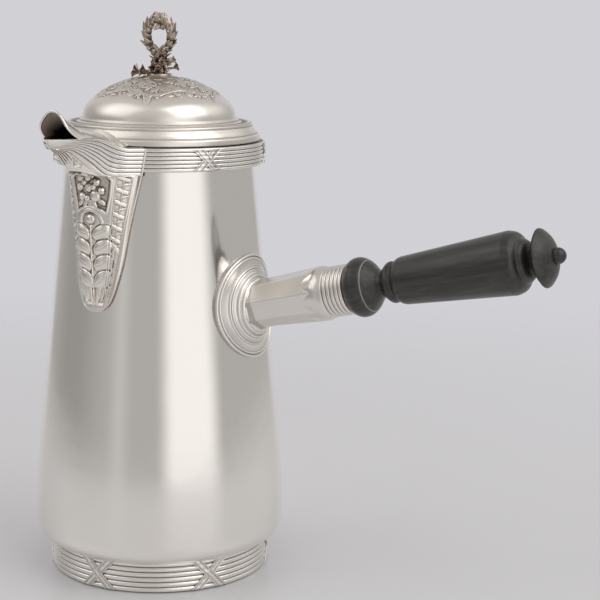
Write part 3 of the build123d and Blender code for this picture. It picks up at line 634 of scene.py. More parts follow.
rim_outline, rim_depth = reed_profile(RIM_RADIUS - 0.5, RIM_CREST, RIM_BAND_LOW, RIM)
share = (rim_outline[:, 1] - RIM_BAND_LOW) / (RIM - RIM_BAND_LOW)
joint = np.radians(JOINT_FOOT + (JOINT_TOP - JOINT_FOOT) * share)
along = np.linspace(0, 1, 400)
band_turn = -math.pi / 2 + joint[:, None] + along[None] * (2 * math.pi - 2 * joint[:, None])
rim_rings = np.stack([rim_outline[:, 0, None] * np.cos(band_turn),
                      rim_outline[:, 0, None] * np.sin(band_turn),
                      np.broadcast_to(rim_outline[:, 1, None], band_turn.shape)], -1)
height = np.linspace(RIM_BAND_LOW - 1.2, RIM + 0.1, 24)
lean = np.radians(JOINT_FOOT + (JOINT_TOP - JOINT_FOOT) * (height - RIM_BAND_LOW) / (RIM - RIM_BAND_LOW))
rim_sheets = [sheet_of(rim_rings, True, False, rim_depth[:, None])]
for side in (1, -1):
    reach = RIM_CREST - 0.25
    bead_path = np.stack([side * reach * np.sin(lean), -reach * np.cos(lean), height], -1)
    rim_sheets.append(bar(bead_path, 0.5, hollow=0.15))
make_piece("rim_reeding", rim_sheets, "pot", soft_polished, ["rim_band"])

# %% [markdown]
# ## Crossed ribbons
# At six places a pair of ribbons is wrapped over the reeds. Each ribbon is a flat strip with a raised edge
# on each side, cut level at the top and the bottom of the band, and the second lies over the first. They
# dip a little between the reeds, as soldered strip does when it is pressed home.

# %% Ribbons
TIE_WIDTH = 3.5
TIE_LEAN = math.radians(46)
TIE_MARGIN = 0.45
STRIP = [(-0.5, -0.9), (-0.5, -0.05), (-0.47, 0.16), (-0.40, 0.20), (-0.33, 0.08), (-0.27, -0.06),
         (-0.14, 0.0),
         (0, 0.03), (0.14, 0.0), (0.27, -0.06), (0.33, 0.08), (0.40, 0.20), (0.47, 0.16), (0.5, -0.05),
         (0.5, -0.9)]
STRIP_HOLLOW = [1, 0.7, 0.1, 0, 0.35, 0.7, 0.15, 0, 0.15, 0.7, 0.35, 0, 0.1, 0.7, 1]


def crossed_ribbons(turn, crest, low, high):
    """Two ribbons crossed over a band at an angle from +X."""
    middle = (low + high) / 2
    pitch = (high - low) / REEDS
    height = np.linspace(low + TIE_MARGIN, high - TIE_MARGIN, 48)
    across = np.array([s for s, _ in STRIP]) * TIE_WIDTH / math.sin(TIE_LEAN)
    lift = np.array([h for _, h in STRIP])
    made = []
    for side, over in ((1, 0.0), (-1, 0.22)):
        centre = side * (height - middle) / math.tan(TIE_LEAN)
        dip = 0.08 * np.cos(2 * math.pi * (height - low) / pitch)
        cross = over * np.exp(-((height - middle) / 1.7) ** 2)
        reach = crest + 0.20 - dip[:, None] + cross[:, None] + lift[None]
        angle = math.radians(turn) + (centre[:, None] + across[None]) / crest
        level = np.broadcast_to(height[:, None], angle.shape)
        grid = np.stack([reach * np.cos(angle), reach * np.sin(angle), level], -1)
        back = grid[[0, -1]].copy()
        back[:, :, :2] *= ((crest - 0.9) / reach[[0, -1]])[:, :, None]
        grid = np.concatenate([back[:1], grid, back[1:]])
        made.append(sheet_of(grid, False, False, np.array(STRIP_HOLLOW)[None]))
    return made


foot_ties = []
for turn in range(-90, 270, 60):
    foot_ties += crossed_ribbons(turn, FOOT_CREST, 0, FOOT_TOP)
make_piece("foot_crossed_ribbons", foot_ties, "pot", soft_polished, ["foot_ribbons"])
rim_ties = []
for turn in (-30, 30, 150, 210):
    rim_ties += crossed_ribbons(turn, RIM_CREST, RIM_BAND_LOW, RIM)
make_piece("rim_crossed_ribbons", rim_ties, "pot", soft_polished, ["rim_ribbons"])

# %% [markdown]
# ## The beak
# The spout starts as wide as a quarter of the rim and draws in to a narrow lip. Seven reeds carry on from
# the rim band, sweep down and up in an S and meet at the tip. The section across it is written down at ten
# places along its length, smoothed between them, and the reeds are added to each section.

# %% Beak sections
BEAK_REACH = 77.5
BEAK_REEDS = 7
REED_DEPTH = 1.2
JOINT_REACH = RIM_CREST * math.cos(math.radians(JOINT_TOP))
JOINT_HALF = RIM_CREST * math.sin(math.radians(JOINT_TOP))
# Place, width of the edge, its climb, width at the reeds' foot, height of that foot, height of the keel.
BEAK = np.array([
    (0.00, 1.000, 0.00, 0.93, 0.00, 0.00), (0.12, 0.795, 0.02, 0.93, 0.00, 0.00),
    (0.22, 0.675, 0.25, 0.92, 0.00, 0.00), (0.30, 0.610, 0.52, 0.84, 0.06, 0.00),
    (0.45, 0.533, 0.90, 0.64, 0.37, 0.07), (0.60, 0.482, 1.00, 0.50, 0.60, 0.17),
    (0.72, 0.432, 1.00, 0.44, 0.72, 0.37), (0.84, 0.330, 0.98, 0.36, 0.76, 0.61),
    (0.94, 0.190, 0.97, 0.30, 0.80, 0.79), (1.00, 0.100, 0.98, 0.30, 0.92, 0.91)])


def beak_section(place):
    """Reach, edge half-width and height, reeds' foot half-width and height, and keel height."""
    columns = [smooth_line(BEAK[:, 0], BEAK[:, k], place) for k in range(1, 6)]
    width, climb, foot_share, foot_rise, keel_rise = columns
    reach = JOINT_REACH + place * (BEAK_REACH - 0.8 - JOINT_REACH)
    edge = JOINT_HALF * width - REED_DEPTH
    edge_z = RIM + 5.0 * climb
    depth = edge_z - SPOUT_FLOOR
    foot_z = SPOUT_FLOOR + depth * foot_rise
    keel_z = SPOUT_FLOOR + depth * keel_rise
    return reach, edge, edge_z, edge * foot_share, foot_z, keel_z


# %% Beak and its reeds
place = np.concatenate([np.linspace(0, 1, 150), np.ones(8)])
close = np.concatenate([np.zeros(150), np.linspace(0, 1, 9)[1:]]) * math.pi / 2
reach, edge, edge_z, foot, foot_z, keel_z = beak_section(place)
reach = reach + 0.8 * np.sin(close)
shrink = np.cos(close)
middle_z = (edge_z + foot_z) / 2
REED_SAMPLES = 9
half_section = []
half_depth = []
for step in range(BEAK_REEDS * REED_SAMPLES + 1):
    share = step / (BEAK_REEDS * REED_SAMPLES)
    inside_reed = (step % REED_SAMPLES) / REED_SAMPLES
    round_out = math.sqrt(max(0.0, 1 - (2 * inside_reed - 1) ** 2))
    relief = np.minimum(0.8, (edge_z - foot_z) / BEAK_REEDS * REED_FULLNESS)
    swell = 0.9 * math.sin(math.pi * share) * np.sin(math.pi * np.clip(place, 0, 1)) ** 2
    half_section.append((foot + (edge - foot) * share + 0.4 + relief * round_out + swell,
                         foot_z + (edge_z - foot_z) * share))
    half_depth.append(max(0.0, 1 - 1.3 * round_out) ** 1.1)
lip = np.maximum(edge - 0.9, 0.05)
throat = np.maximum(foot - 1.4, 0.04)
half_section += [(edge + 0.25, edge_z + 0.25), (edge - 0.2, edge_z + 0.35),
                 (np.maximum(edge - 0.6, 0.05), edge_z + 0.15),
                 (lip, edge_z - 0.5), (lip * 0.6 + throat * 0.4, edge_z * 0.6 + foot_z * 0.4 + 0.5),
                 (throat, np.minimum(foot_z + 1.5, edge_z - 0.6)),
                 (throat * 0, np.minimum(keel_z + 1.5, edge_z - 0.7))]
half_depth += [0.05, 0.0, 0.1, 0.6, 1.0, 1.0, 1.0]
rows = []
for side, order in ((1, range(len(half_section))), (-1, range(len(half_section) - 2, -1, -1))):
    for k in order:
        v, z = half_section[k]
        rows.append(np.stack([side * v * shrink, -reach, middle_z + (z - middle_z) * shrink], -1))
rows.append(np.stack([reach * 0, -reach, middle_z + (keel_z + 0.3 - middle_z) * shrink], -1))
depth = np.array(half_depth + half_depth[-2::-1] + [1.0])[:, None] * np.ones(len(place))
make_piece("beak_with_reeds", [sheet_of(np.array(rows), True, False, depth)], "pot",
           soft_polished,
           ["spout_beak", "spout_reeds"], 60)

# %% [markdown]
# ## The apron
# Under the beak hangs a long shield in relief: a panel of berries, an arch over a knob, an acanthus stem
# with turned-over lobes, lattice strips at the sides and a smooth raised border. It could be carved by
# sculpting, but a relief is only a height at each point. So the shield is one fine sheet, and each motif
# adds to its height from how far a point lies from the motif.

# %% Apron sheet
APRON_DROP = 55.1
HALF_ANGLES = [(0, 24.5), (0.172, 21.5), (0.39, 18.0), (0.626, 15.0), (0.789, 12.0), (0.926, 8.5),
               (0.985, 4.2), (1.0, 0.3)]
SWELLS = [(0, 1.0), (0.12, 0.86), (0.35, 0.66), (0.56, 0.44), (0.78, 0.20), (0.92, 0.07), (1.0, 0.0)]
APRON_SWELL = 9.2
APRON_EDGE = 1.2
ROWS = 300
FAN_ROWS = 130
COLUMNS = 261

a = np.linspace(-1, 1, COLUMNS)
fall = np.linspace(1, 0, ROWS)
level = SPOUT_FLOOR - fall * APRON_DROP
half_angle = np.radians(smooth_line([p for p, _ in HALF_ANGLES], [v for _, v in HALF_ANGLES], fall))
swell = APRON_SWELL * smooth_line([p for p, _ in SWELLS], [v for _, v in SWELLS], fall)
reach = wall_radius(level)[:, None] + APRON_EDGE + swell[:, None] * (1 - a * a)[None] ** 0.8
angle = half_angle[:, None] * a[None]
shield = np.stack([reach * np.sin(angle), -reach * np.cos(angle),
                   np.broadcast_to(level[:, None], angle.shape)], -1)

fan = np.linspace(0, 1, FAN_ROWS + 1)[1:]
fan_reach, _, _, fan_foot, fan_foot_z, _ = beak_section(fan)
keel_place = 0.30 + 0.70 * fan
keel_reach, _, _, _, _, keel_z = beak_section(keel_place)
start_reach = beak_section(np.array([0.30]))[0][0]
swell_reach = wall_radius(SPOUT_FLOOR) + APRON_EDGE + APRON_SWELL
keel_reach = keel_reach + (swell_reach - start_reach) * (1 - fan) ** 2
bulge = (1 - fan)[:, None] * (1 - a * a)[None] ** 0.8 + fan[:, None] * (1 - np.abs(a))[None] ** 1.1
fan_sheet = np.stack([(fan_foot + 0.45)[:, None] * a[None],
                      -(fan_reach[:, None] + (keel_reach - fan_reach)[:, None] * bulge),
                      fan_foot_z[:, None] + (keel_z - fan_foot_z)[:, None] * bulge], -1)
shield = np.concatenate([shield, fan_sheet])
steps = np.linalg.norm(np.diff(shield, axis=1), axis=2)
middle = COLUMNS // 2
x = np.zeros(shield.shape[:2])
x[:, middle + 1:] = np.cumsum(steps[:, middle:], axis=1)
x[:, :middle] = -np.cumsum(steps[:, :middle][:, ::-1], axis=1)[:, ::-1]
z = shield[:, :, 2]
side_share = np.broadcast_to(np.abs(a)[None], z.shape)
is_fan = (np.arange(len(shield)) >= ROWS)[:, None] & np.ones(COLUMNS, bool)[None]
fan_share = np.concatenate([np.zeros(ROWS), fan])[:, None] * np.ones(COLUMNS)[None]
print("apron sheet", shield.shape, "half width at the top", round(x[ROWS - 1, -1], 1))


# %% Relief motifs
def step_up(value, low, high):
    """Smooth step from 0 to 1."""
    t = np.clip((value - low) / (high - low), 0, 1)
    return t * t * (3 - 2 * t)


def inside_outline(px, py, outline):
    """Distance in mm inside a closed outline; negative outside."""
    outline = np.asarray(outline, float)
    nearest = np.full(px.shape, 1e9)
    within = np.zeros(px.shape, bool)
    for (x0, y0), (x1, y1) in zip(outline, np.roll(outline, -1, axis=0)):
        dx, dy = x1 - x0, y1 - y0
        t = np.clip(((px - x0) * dx + (py - y0) * dy) / (dx * dx + dy * dy + 1e-12), 0, 1)
        nearest = np.minimum(nearest, np.hypot(px - x0 - t * dx, py - y0 - t * dy))
        crosses = (y0 > py) != (y1 > py)
        within ^= crosses & (px < (x1 - x0) * (py - y0) / (y1 - y0 + 1e-12) + x0)
    return np.where(within, nearest, -nearest)


def dome_bump(px, py, at, size, turn=0.0):
    """Height share of a rounded bump, and its own coordinates."""
    c, s = math.cos(math.radians(turn)), math.sin(math.radians(turn))
    u = ((px - at[0]) * c + (py - at[1]) * s) / size[0]
    v = (-(px - at[0]) * s + (py - at[1]) * c) / size[1]
    return np.sqrt(np.clip(1 - u * u - v * v, 0, 1)), u, v


def blurred(field, times):
    """Field averaged with its neighbours a number of times."""
    for _ in range(times):
        padded = np.pad(field, 1, mode="edge")
        field = (padded[:-2, 1:-1] + padded[2:, 1:-1] + padded[1:-1, :-2] + padded[1:-1, 2:] + 4
                 * field) / 8
    return field


# %% Carve the apron
relief = np.zeros(z.shape)
lower = ~is_fan
mirror_x = np.abs(x)

# The berry panel: sunk and stippled, with berries of two sizes and a few leaves.
PANEL = [(0, 174.4), (3.4, 174.0), (6.6, 172.6), (9.6, 170.0), (8.6, 164.0), (7.0, 157.3), (5.2, 158.4),
         (2.6, 159.3),
         (0, 159.6), (-2.6, 159.3), (-5.2, 158.4), (-7.0, 157.3), (-8.6, 164.0), (-9.6, 170.0),
         (-6.6, 172.6), (-3.4, 174.0)]
panel_edge = inside_outline(x, z, PANEL)
panel = step_up(panel_edge, -0.1, 0.45)
relief -= 1.0 * panel
relief += 0.22 * np.exp(-((panel_edge + 0.45) / 0.35) ** 2)
BERRIES = [(-0.3, 170.8, 1.6), (3.6, 169.0, 1.7), (-4.4, 170.4, 1.6), (5.5, 165.6, 1.6), (-5.2, 166.8, 1.7),
           (-0.5, 166.6, 1.8), (-4.0, 163.0, 1.7), (2.5, 163.5, 2.4), (-1.2, 162.4, 1.4),
           (-2.6, 168.7, 1.3),
           (1.9, 167.0, 1.3), (1.6, 171.6, 1.2)]
for k, (bx, bz, size) in enumerate(BERRIES):
    dome, u, v = dome_bump(x, z, (bx, bz), (size, size))
    seeds = 0 if k == 7 else 0.16 * np.cos(7 * u + 2 * k) * np.cos(7 * v + k)
    relief = np.where(dome > 0, np.maximum(relief, -1.0 + 1.45 * dome + seeds * (dome > 0.2)), relief)
for lx, lz, turn in ((-2.2, 160.4, 60), (2.0, 160.4, 120), (-5.0, 160.4, 40), (5.3, 161.2, 150),
                     (0, 160.0, 90)):
    dome, u, v = dome_bump(x, z, (lx, lz), (2.2, 1.1), turn)
    relief = np.maximum(relief, np.where(dome > 0, -0.8 + 0.95 * dome - 0.25 * np.exp(-(v / 0.16) ** 2),
                                         -9))

# The arch and the knob under it.
arch_distance = np.hypot(x, (z - 152.6) * 1.0)
arch = np.exp(-((arch_distance - 5.3) / 0.62) ** 4) * step_up(z, 151.6, 152.8)
field = step_up(7.6 + (z - 152) * 0.10 - mirror_x, -0.2, 0.5) * step_up(158.0 - z, 0, 1.0)
field = field * step_up(z, 118.5, 121.0)
field = field * step_up(arch_distance - 4.6 + 9 * (z < 151.6), -0.2, 0.2)
under_arch = step_up(4.7 - arch_distance, 0, 0.4) * step_up(z, 150.0, 151.0)
relief -= 0.75 * np.maximum(under_arch, np.where(z < 151.6, field, 0))
relief += 0.35 * arch
knob, _, _ = dome_bump(x, z, (0, 154.2), (2.3, 2.1))
relief = np.where(knob > 0, np.maximum(relief, -0.75 + 1.5 * knob), relief)

# The stem and the acanthus lobes that turn over beside it.
stem = np.exp(-((x + 0.25 * np.sin((z - 119) / 9)) / 0.55) ** 2)
stem = stem * step_up(z, 117.5, 120) * step_up(152.5 - z, 0, 1)
relief = np.maximum(relief, -0.9 + 1.25 * stem)
LOBES = [(4.9, 148.8, 4.6, 3.2, 26), (5.0, 142.6, 4.6, 3.5, 28), (4.9, 136.2, 4.7, 3.8, 32),
         (4.2, 129.6, 4.9, 3.6, 48)]
for lx, lz, long, wide, turn in LOBES:
    dome, u, v = dome_bump(mirror_x, z, (lx, lz), (long, wide), turn)
    rim_line = np.exp(-((np.hypot(u, v + 0.1) - 0.80) / 0.05) ** 2) * step_up(v, -0.2, 0.2)
    fold_line = np.exp(-((v - 0.12 - 0.45 * u * u) / 0.07) ** 2) * step_up(0.75 - np.hypot(u, v), 0, 0.2)
    lobe = -0.95 + (1.75 + 0.50 * v) * dome ** 0.7 - 0.12 * rim_line - 0.09 * fold_line
    shade = np.exp(-((np.hypot(u, v) - 1.06) / 0.06) ** 2) * step_up(v, -0.5, 0.1)
    relief = np.where(dome > 0, np.maximum(relief * (v < 0) - 0.3, lobe),
                      relief - 0.35 * shade * (mirror_x < 9))
for lx, lz, long, wide, turn in ((2.6, 126.8, 6.4, 1.35, 78), (4.7, 126.4, 6.2, 0.95, 72),
                                 (1.2, 121.8, 3.6, 0.7, 82)):
    dome, u, v = dome_bump(mirror_x, z, (lx, lz), (long, wide), turn)
    leaf = -0.6 + 1.1 * dome - 0.3 * np.exp(-(v / 0.14) ** 2)
    relief = np.where(dome > 0, np.maximum(relief, leaf), relief)

# The lattice strip: diagonal straps over a sunk ground, closed below by a slanting bar, and flutes under it.
strip_in = 0.56 + 0.02 * (171 - z) / 27
strip_out = 0.835
strip = step_up(side_share - strip_in, -0.01, 0.012) * step_up(strip_out - side_share, -0.01, 0.012)
slant = 145.2 - (side_share - 0.56) * 13
lattice_zone = strip * step_up(z - slant, 0.4, 0.8) * step_up(171.6 - z, 0, 0.5) * lower
STRAP_PITCH = 4.9
strip_share = np.clip((side_share - strip_in) / (strip_out - strip_in), 0, 1)
row_phase = ((z + 2.0 * strip_share) / STRAP_PITCH) % 1
row_strap = step_up(np.abs(row_phase - 0.5), 0.34, 0.38)
diagonal = np.exp(-((row_phase - 0.22 - 0.56 * strip_share) / 0.045) ** 2) * (1 - row_strap)
upright = np.exp(-((strip_share - 0.52) / 0.05) ** 2) * (1 - row_strap)
straps = np.clip(row_strap + 0.85 * diagonal + 0.75 * upright, 0, 1)
relief -= 0.46 * lattice_zone * (1 - straps)
flute_zone = step_up(side_share - 0.58, -0.01, 0.02) * step_up(0.86 - side_share, -0.01, 0.02)
flute_zone = flute_zone * step_up(slant - 1.0 - z, 0, 0.6) * step_up(z, 120, 124)
relief -= 0.42 * flute_zone * (0.5 - 0.5 * np.cos(2 * math.pi * (side_share - 0.58) / 0.28 * 3))
# %% Side strips of the apron
for share_at in (0.545, 0.845):
    relief -= 0.28 * np.exp(-((side_share - share_at) / 0.012) ** 2) * step_up(z, 119, 124) * lower
outer_edge = 0.35 * step_up(side_share - 0.87, 0, 0.05) * step_up(1.0 - side_share, -0.005, 0.03)
relief += outer_edge * step_up(z, 116.5, 118)

# Above the floor of the beak: a strip under the reeds, a small three-cornered panel, and V-shaped flutes.
strip_line = np.exp(-((side_share - 0.80) / 0.022) ** 2)
strip_line = strip_line * step_up(fan_share, 0.05, 0.2) * step_up(0.93 - fan_share, 0, 0.1)
relief -= 0.30 * strip_line * is_fan
corner = inside_outline(side_share * 10, fan_share * 10, [(3.3, 5.0), (7.3, 4.6), (7.0, 6.3)])
relief -= 0.55 * step_up(corner, -0.05, 0.35) * is_fan
clover = np.maximum.reduce([dome_bump(side_share * 10, fan_share * 10, at, (0.62, 0.42))[0]
                            for at in ((5.6, 5.02), (6.5, 5.1), (6.3, 5.65))])
relief += 0.5 * clover * is_fan
flute_turn = np.abs(((side_share * 10 - (fan_share - 0.55) * 6) / 1.5) % 1 - 0.5)
v_flutes = step_up(fan_share, 0.52, 0.60) * step_up(0.97 - fan_share, 0, 0.1)
v_flutes = v_flutes * step_up(0.74 - side_share, 0, 0.08)
relief -= 0.38 * v_flutes * step_up(0.30 - flute_turn, 0, 0.2) * is_fan * (corner < -0.1)
print("relief from", round(float(relief.min()), 2), "to", round(float(relief.max()), 2), "mm")

# %% Raise the relief
relief = blurred(relief, 1)
across_way = np.gradient(shield, axis=1)
down_way = np.gradient(shield, axis=0)
normal = np.cross(across_way, down_way)
normal /= np.linalg.norm(normal, axis=2)[:, :, None] + 1e-12
if np.mean(normal[ROWS // 2, :, 1]) > 0:
    normal = -normal
carved = shield + normal * (relief * step_up(1.0 - side_share, -0.001, 0.02))[:, :, None]
hollow = np.clip((blurred(relief, 14) - relief) / 0.22, 0, 1) * 0.95 + 0.34 * panel * (relief < -0.55)
hollow = np.clip(blurred(hollow, 1) + 0.10 * lattice_zone * (1 - straps), 0, 1)
skirt = []
for side in (0, -1):
    edge_line = carved[:, side]
    out_way = edge_line[:, :2] / np.linalg.norm(edge_line[:, :2], axis=1)[:, None]
    back = edge_line.copy()
    tuck = np.where(np.arange(len(shield)) < ROWS, 1.7, 0.8)[:, None]
    back[:, :2] -= out_way * tuck
    near = edge_line.copy()
    near[:, :2] -= out_way * 0.35
    near[:, 0] += (1 if side else -1) * 0.12
    skirt.append((back, near))
carved = np.concatenate([skirt[0][0][:, None], skirt[0][1][:, None], carved, skirt[1][1][:, None],
                         skirt[1][0][:, None]], 1)
hollow = np.pad(hollow, ((0, 0), (2, 2)), constant_values=0.75)
make_piece("carved_apron", [sheet_of(carved, False, False, hollow)], "pot", chased,
           ["spout_apron"], 80)

# %% [markdown]
# ## The handle's plate and socket
# The handle starts from a round plate with fine turned mouldings, hammered to the curve of the body. Its
# points are worked out flat, as rings, and then pushed out from the wall by the thickness of the moulding.
# The socket is an eight-sided tube whose facets die into a round collar: at each point it takes the larger
# of the two shapes.

# %% Handle axes
HANDLE_HEIGHT = 116.6
HANDLE_ROOT = np.array([wall_radius(HANDLE_HEIGHT), 0, HANDLE_HEIGHT])
HANDLE_WAY = np.array([math.cos(HANDLE_TILT), 0, math.sin(HANDLE_TILT)])
HANDLE_UP = np.array([-math.sin(HANDLE_TILT), 0, math.cos(HANDLE_TILT)])
HANDLE_SIDE = np.array([0.0, 1.0, 0.0])


def on_handle(radius, along, turn):
    """Points round the handle's axis."""
    flat = (radius * np.cos(turn))[..., None] * HANDLE_SIDE + (radius * np.sin(turn))[..., None] * HANDLE_UP
    return HANDLE_ROOT + flat + np.asarray(along)[..., None] * HANDLE_WAY


def handle_turned(outline, turns=160):
    """A turned shape on the handle's axis, from radius and place along it."""
    turn = np.linspace(0, 2 * math.pi, turns, endpoint=False)
    radius = np.broadcast_to(outline[:, 0, None], (len(outline), turns))
    along = np.broadcast_to(outline[:, 1, None], radius.shape)
    return on_handle(radius, along, np.broadcast_to(turn, radius.shape))


# %% Plate
PLATE_RADIUS = node_box("handle_plate")[1][1]
share = np.linspace(0.40, 1.0, 150)
thickness = smooth_line([0.40, 0.47, 0.52, 0.60, 0.66, 0.80, 0.90, 1.0],
                        [5.3, 5.0, 4.2, 3.2, 2.6, 1.6, 1.35, 1.1], share)
BEADS = [(0.972, 0.026, 0.62), (0.915, 0.022, 0.50), (0.735, 0.018, 0.42), (0.695, 0.018, 0.40),
         (0.595, 0.022, 0.55),
         (0.52, 0.022, 0.45)]
for at, half, rise_mm in BEADS:
    thickness = thickness + rise_mm * np.sqrt(np.clip(1 - ((share - at) / half) ** 2, 0, 1))
mean = np.convolve(np.pad(thickness, 6, mode="edge"), np.ones(13) / 13, "valid")
plate_hollow = np.clip((mean - thickness) / 0.35, 0, 1)
share = np.concatenate([share, [1.0, 1.0]])
thickness = np.concatenate([thickness, [0.45, -0.3]])
plate_hollow = np.concatenate([plate_hollow, [0.5, 0.9]])
turn = np.linspace(0, 2 * math.pi, 200, endpoint=False)
out = PLATE_RADIUS * share[:, None]
side = out * np.cos(turn)
height = HANDLE_HEIGHT + out * np.sin(turn) * math.cos(TAPER)
stand = wall_radius(height) + thickness[:, None]
plate = np.stack([np.sqrt(stand ** 2 - side ** 2), side, height], -1)
make_piece("moulded_plate", [sheet_of(plate, False, True, plate_hollow[:, None])], "pot",
           plate_silver, ["handle_plate"], 60)

# %% Socket and ferrule
SOCKET_LENGTH = 39.3
COLLAR_START = 34.5
SOCKET_CORNER = 11.2
SPIGOT = 6.8
FACET_TURN = math.radians(9.0)
along = np.concatenate([np.linspace(1.5, COLLAR_START, 80),
                        np.linspace(COLLAR_START, SOCKET_LENGTH - 0.4, 16)[1:]])
turn = np.linspace(0, 2 * math.pi, 256, endpoint=False)
corner = SOCKET_CORNER * (0.83 + 0.17 * np.clip(along / COLLAR_START, 0, 1))
facet = corner[:, None] * math.cos(math.pi / 8) / np.cos(np.mod(turn + FACET_TURN, math.pi / 4) - math.pi
                                                         / 8)[None]
into_collar = np.clip((along - COLLAR_START - 1.0) / (SOCKET_LENGTH - COLLAR_START - 1.0), 0, 1)
collar = np.where(along < COLLAR_START, 11.1 - 0.20 * (COLLAR_START - along),
                  11.1) - 1.3 * into_collar ** 2.2
flare = 2.9 * np.exp(-(along - 1.5) / 2.9)
radius = np.where((along < COLLAR_START)[:, None], np.maximum(facet, collar[:, None]),
                  collar[:, None]) + flare[:, None]
grid = on_handle(radius, np.broadcast_to(along[:, None], radius.shape), np.broadcast_to(turn, radius.shape))
END = np.array([[9.7, SOCKET_LENGTH - 0.1], [9.3, SOCKET_LENGTH], [SPIGOT, SOCKET_LENGTH], [SPIGOT, 24.5]])
socket = np.concatenate([grid, handle_turned(END, 256)])
socket_hollow = np.concatenate([np.where(along < 6, 0.4, 0.0), [0.6, 0.9, 1.0, 1.0]])
make_piece("faceted_socket", [sheet_of(socket, False, True, socket_hollow[:, None])], "pot",
           socket_silver, ["handle_socket"], 12)
FERRULE_LENGTH = 9.1
FERRULE_CREST = 10.3
rings, ring_depth = reed_profile(SPIGOT, FERRULE_CREST, SOCKET_LENGTH, SOCKET_LENGTH + FERRULE_LENGTH, 5)
make_piece("reeded_ferrule", [sheet_of(handle_turned(rings, 200), True, True, ring_depth[:, None])], "pot",
           socket_silver, ["handle_ferrule"])

# %% [markdown]
# ## The wood
# The handle is turned from one piece of black wood: a ball against the ferrule, a neck, a bead, a long
# tapered grip with round shoulders, and a flat knob with a button. Smooth curves through a few radii give
# the same lines that the turner's gouge does. A pale ring is cut round the ball.

# %% Turned wood
def through(points, spacing=0.35):
    """Smooth curve through points, as a natural cubic, at an even spacing."""
    points = np.asarray(points, float)
    knots = np.concatenate([[0], np.cumsum(np.linalg.norm(np.diff(points, axis=0), axis=1))])
    gap = np.diff(knots)
    count = len(points)
    system = np.eye(count)
    load = np.zeros((count, 2))
    for k in range(1, count - 1):
        system[k, k - 1:k + 2] = gap[k - 1], 2 * (gap[k - 1] + gap[k]), gap[k]
        load[k] = 6 * ((points[k + 1] - points[k]) / gap[k] - (points[k] - points[k - 1]) / gap[k - 1])
    bend = np.linalg.solve(system, load)
    at = np.linspace(0, knots[-1], max(3, int(knots[-1] / spacing)))
    k = np.clip(np.searchsorted(knots, at, side="right") - 1, 0, count - 2)
    h, left, right = gap[k][:, None], (knots[k + 1] - at)[:, None], (at - knots[k])[:, None]
    cubic = (bend[k] * left ** 3 + bend[k + 1] * right ** 3) / (6 * h)
    cubic = cubic + (points[k] / h - bend[k] * h / 6) * left
    return cubic + (points[k + 1] / h - bend[k + 1] * h / 6) * right


ball = SOCKET_LENGTH + FERRULE_LENGTH
neck = ball + 13.0
bead = neck + 2.2
grip = bead + 5.2
grip_end = grip + 53.9
recess = grip_end + 2.6
knob = recess + 3.2
knob_end = knob + 6.6
BUTTON = (3.1, 4.0)
button_bend = (BUTTON[0] ** 2 + BUTTON[1] ** 2) / (2 * BUTTON[1])
button_turn = math.degrees(math.asin((button_bend - BUTTON[1]) / button_bend))
wood_outline = np.vstack([
    [[SPIGOT, ball - 20], [SPIGOT, ball], [9.5, ball]],
    through([(9.7, ball), (11.4, ball + 2.08), (12.0, ball + 4.42), (10.2, ball + 8.58),
             (6.84, ball + 11.7), (5.6, neck)]),
    [[5.6, bead - 0.3]],
    through([(5.6, bead), (7.8, bead + 2.0), (8.3, bead + 3.2), (7.4, grip)])[1:],
    through([(7.4, grip + 0.05), (9.02, grip + 1.6), (9.6, grip + 4.5)])[1:],
    np.linspace((9.62, grip + 5.0), (12.38, grip_end - 5.4), 80),
    through([(12.4, grip_end - 5.0), (11.3, grip_end - 1.8), (8.93, grip_end)]),
    through([(8.9, grip_end), (7.5, grip_end + 2.0), (3.6, recess)])[1:],
    [[3.6, knob - 1.7]],
    through([(3.6, knob - 1.6), (8.2, knob - 0.4), (11.4, knob + 1.6)]),
    through([(11.38, knob + 1.9), (8.7, knob + 4.4), (3.15, knob_end)])[1:],
    arc_points((0, knob_end + BUTTON[1] - 0.02 - button_bend), button_bend, button_turn, 89.9, 14)])
RING_AT = ball + 8.5
ring_here = np.exp(-((wood_outline[:, 1] - RING_AT) / 0.13) ** 4) * (wood_outline[:, 1] < neck)
wood_outline[:, 0] -= 0.12 * ring_here
for groove in (bead + 0.6, bead + 4.9, grip + 2.2, grip_end - 3.4):
    wood_outline[:, 0] -= 0.07 * np.exp(-((wood_outline[:, 1] - groove) / 0.22) ** 2)
make_piece("turned_handle", [sheet_of(handle_turned(wood_outline, 192), False, True,
                                      (0.8 * ring_here)[:, None])],
           "pot", ebony, ["wood_handle"], 50)

# %% [markdown]
# ## The lid
# The lid is spun: an upright lip, a hollow-curved flange, a small step and a dome. The upper part of the
# dome is chased from outside with roses, leaves and a running ribbon over a ground of tiny punch marks. As
# on the apron, the chasing is a height at each point, here on a plan of the dome seen from above.

# %% Lid outline
LID_BASE = node_box("lid_cover")[0][2]
DOME_FOOT = LID_BASE + 8.8
DOME_RADIUS = 31.8
SIDE_ROUND = 10.0
CROWN = 45.3
bend_share = (DOME_RADIUS - SIDE_ROUND) / (CROWN - SIDE_ROUND)
bend_rise = math.sqrt(1 - bend_share ** 2)
crown_middle = DOME_FOOT + (SIDE_ROUND - CROWN) * bend_rise
crown_turn = math.degrees(math.acos(bend_share))
side_arc = arc_points((DOME_RADIUS - SIDE_ROUND, DOME_FOOT), SIDE_ROUND, 3, crown_turn, 46)[:-1]
crown_arc = arc_points((0, crown_middle), CROWN, crown_turn, 89.95, 165)
DOME_TOP = crown_middle + CROWN
lip = through([(42.0, LID_BASE + 0.35), (42.0, LID_BASE + 1.7), (41.75, LID_BASE + 2.45),
               (41.0, LID_BASE + 2.85),
               (40.55, LID_BASE + 2.95)], 0.12)
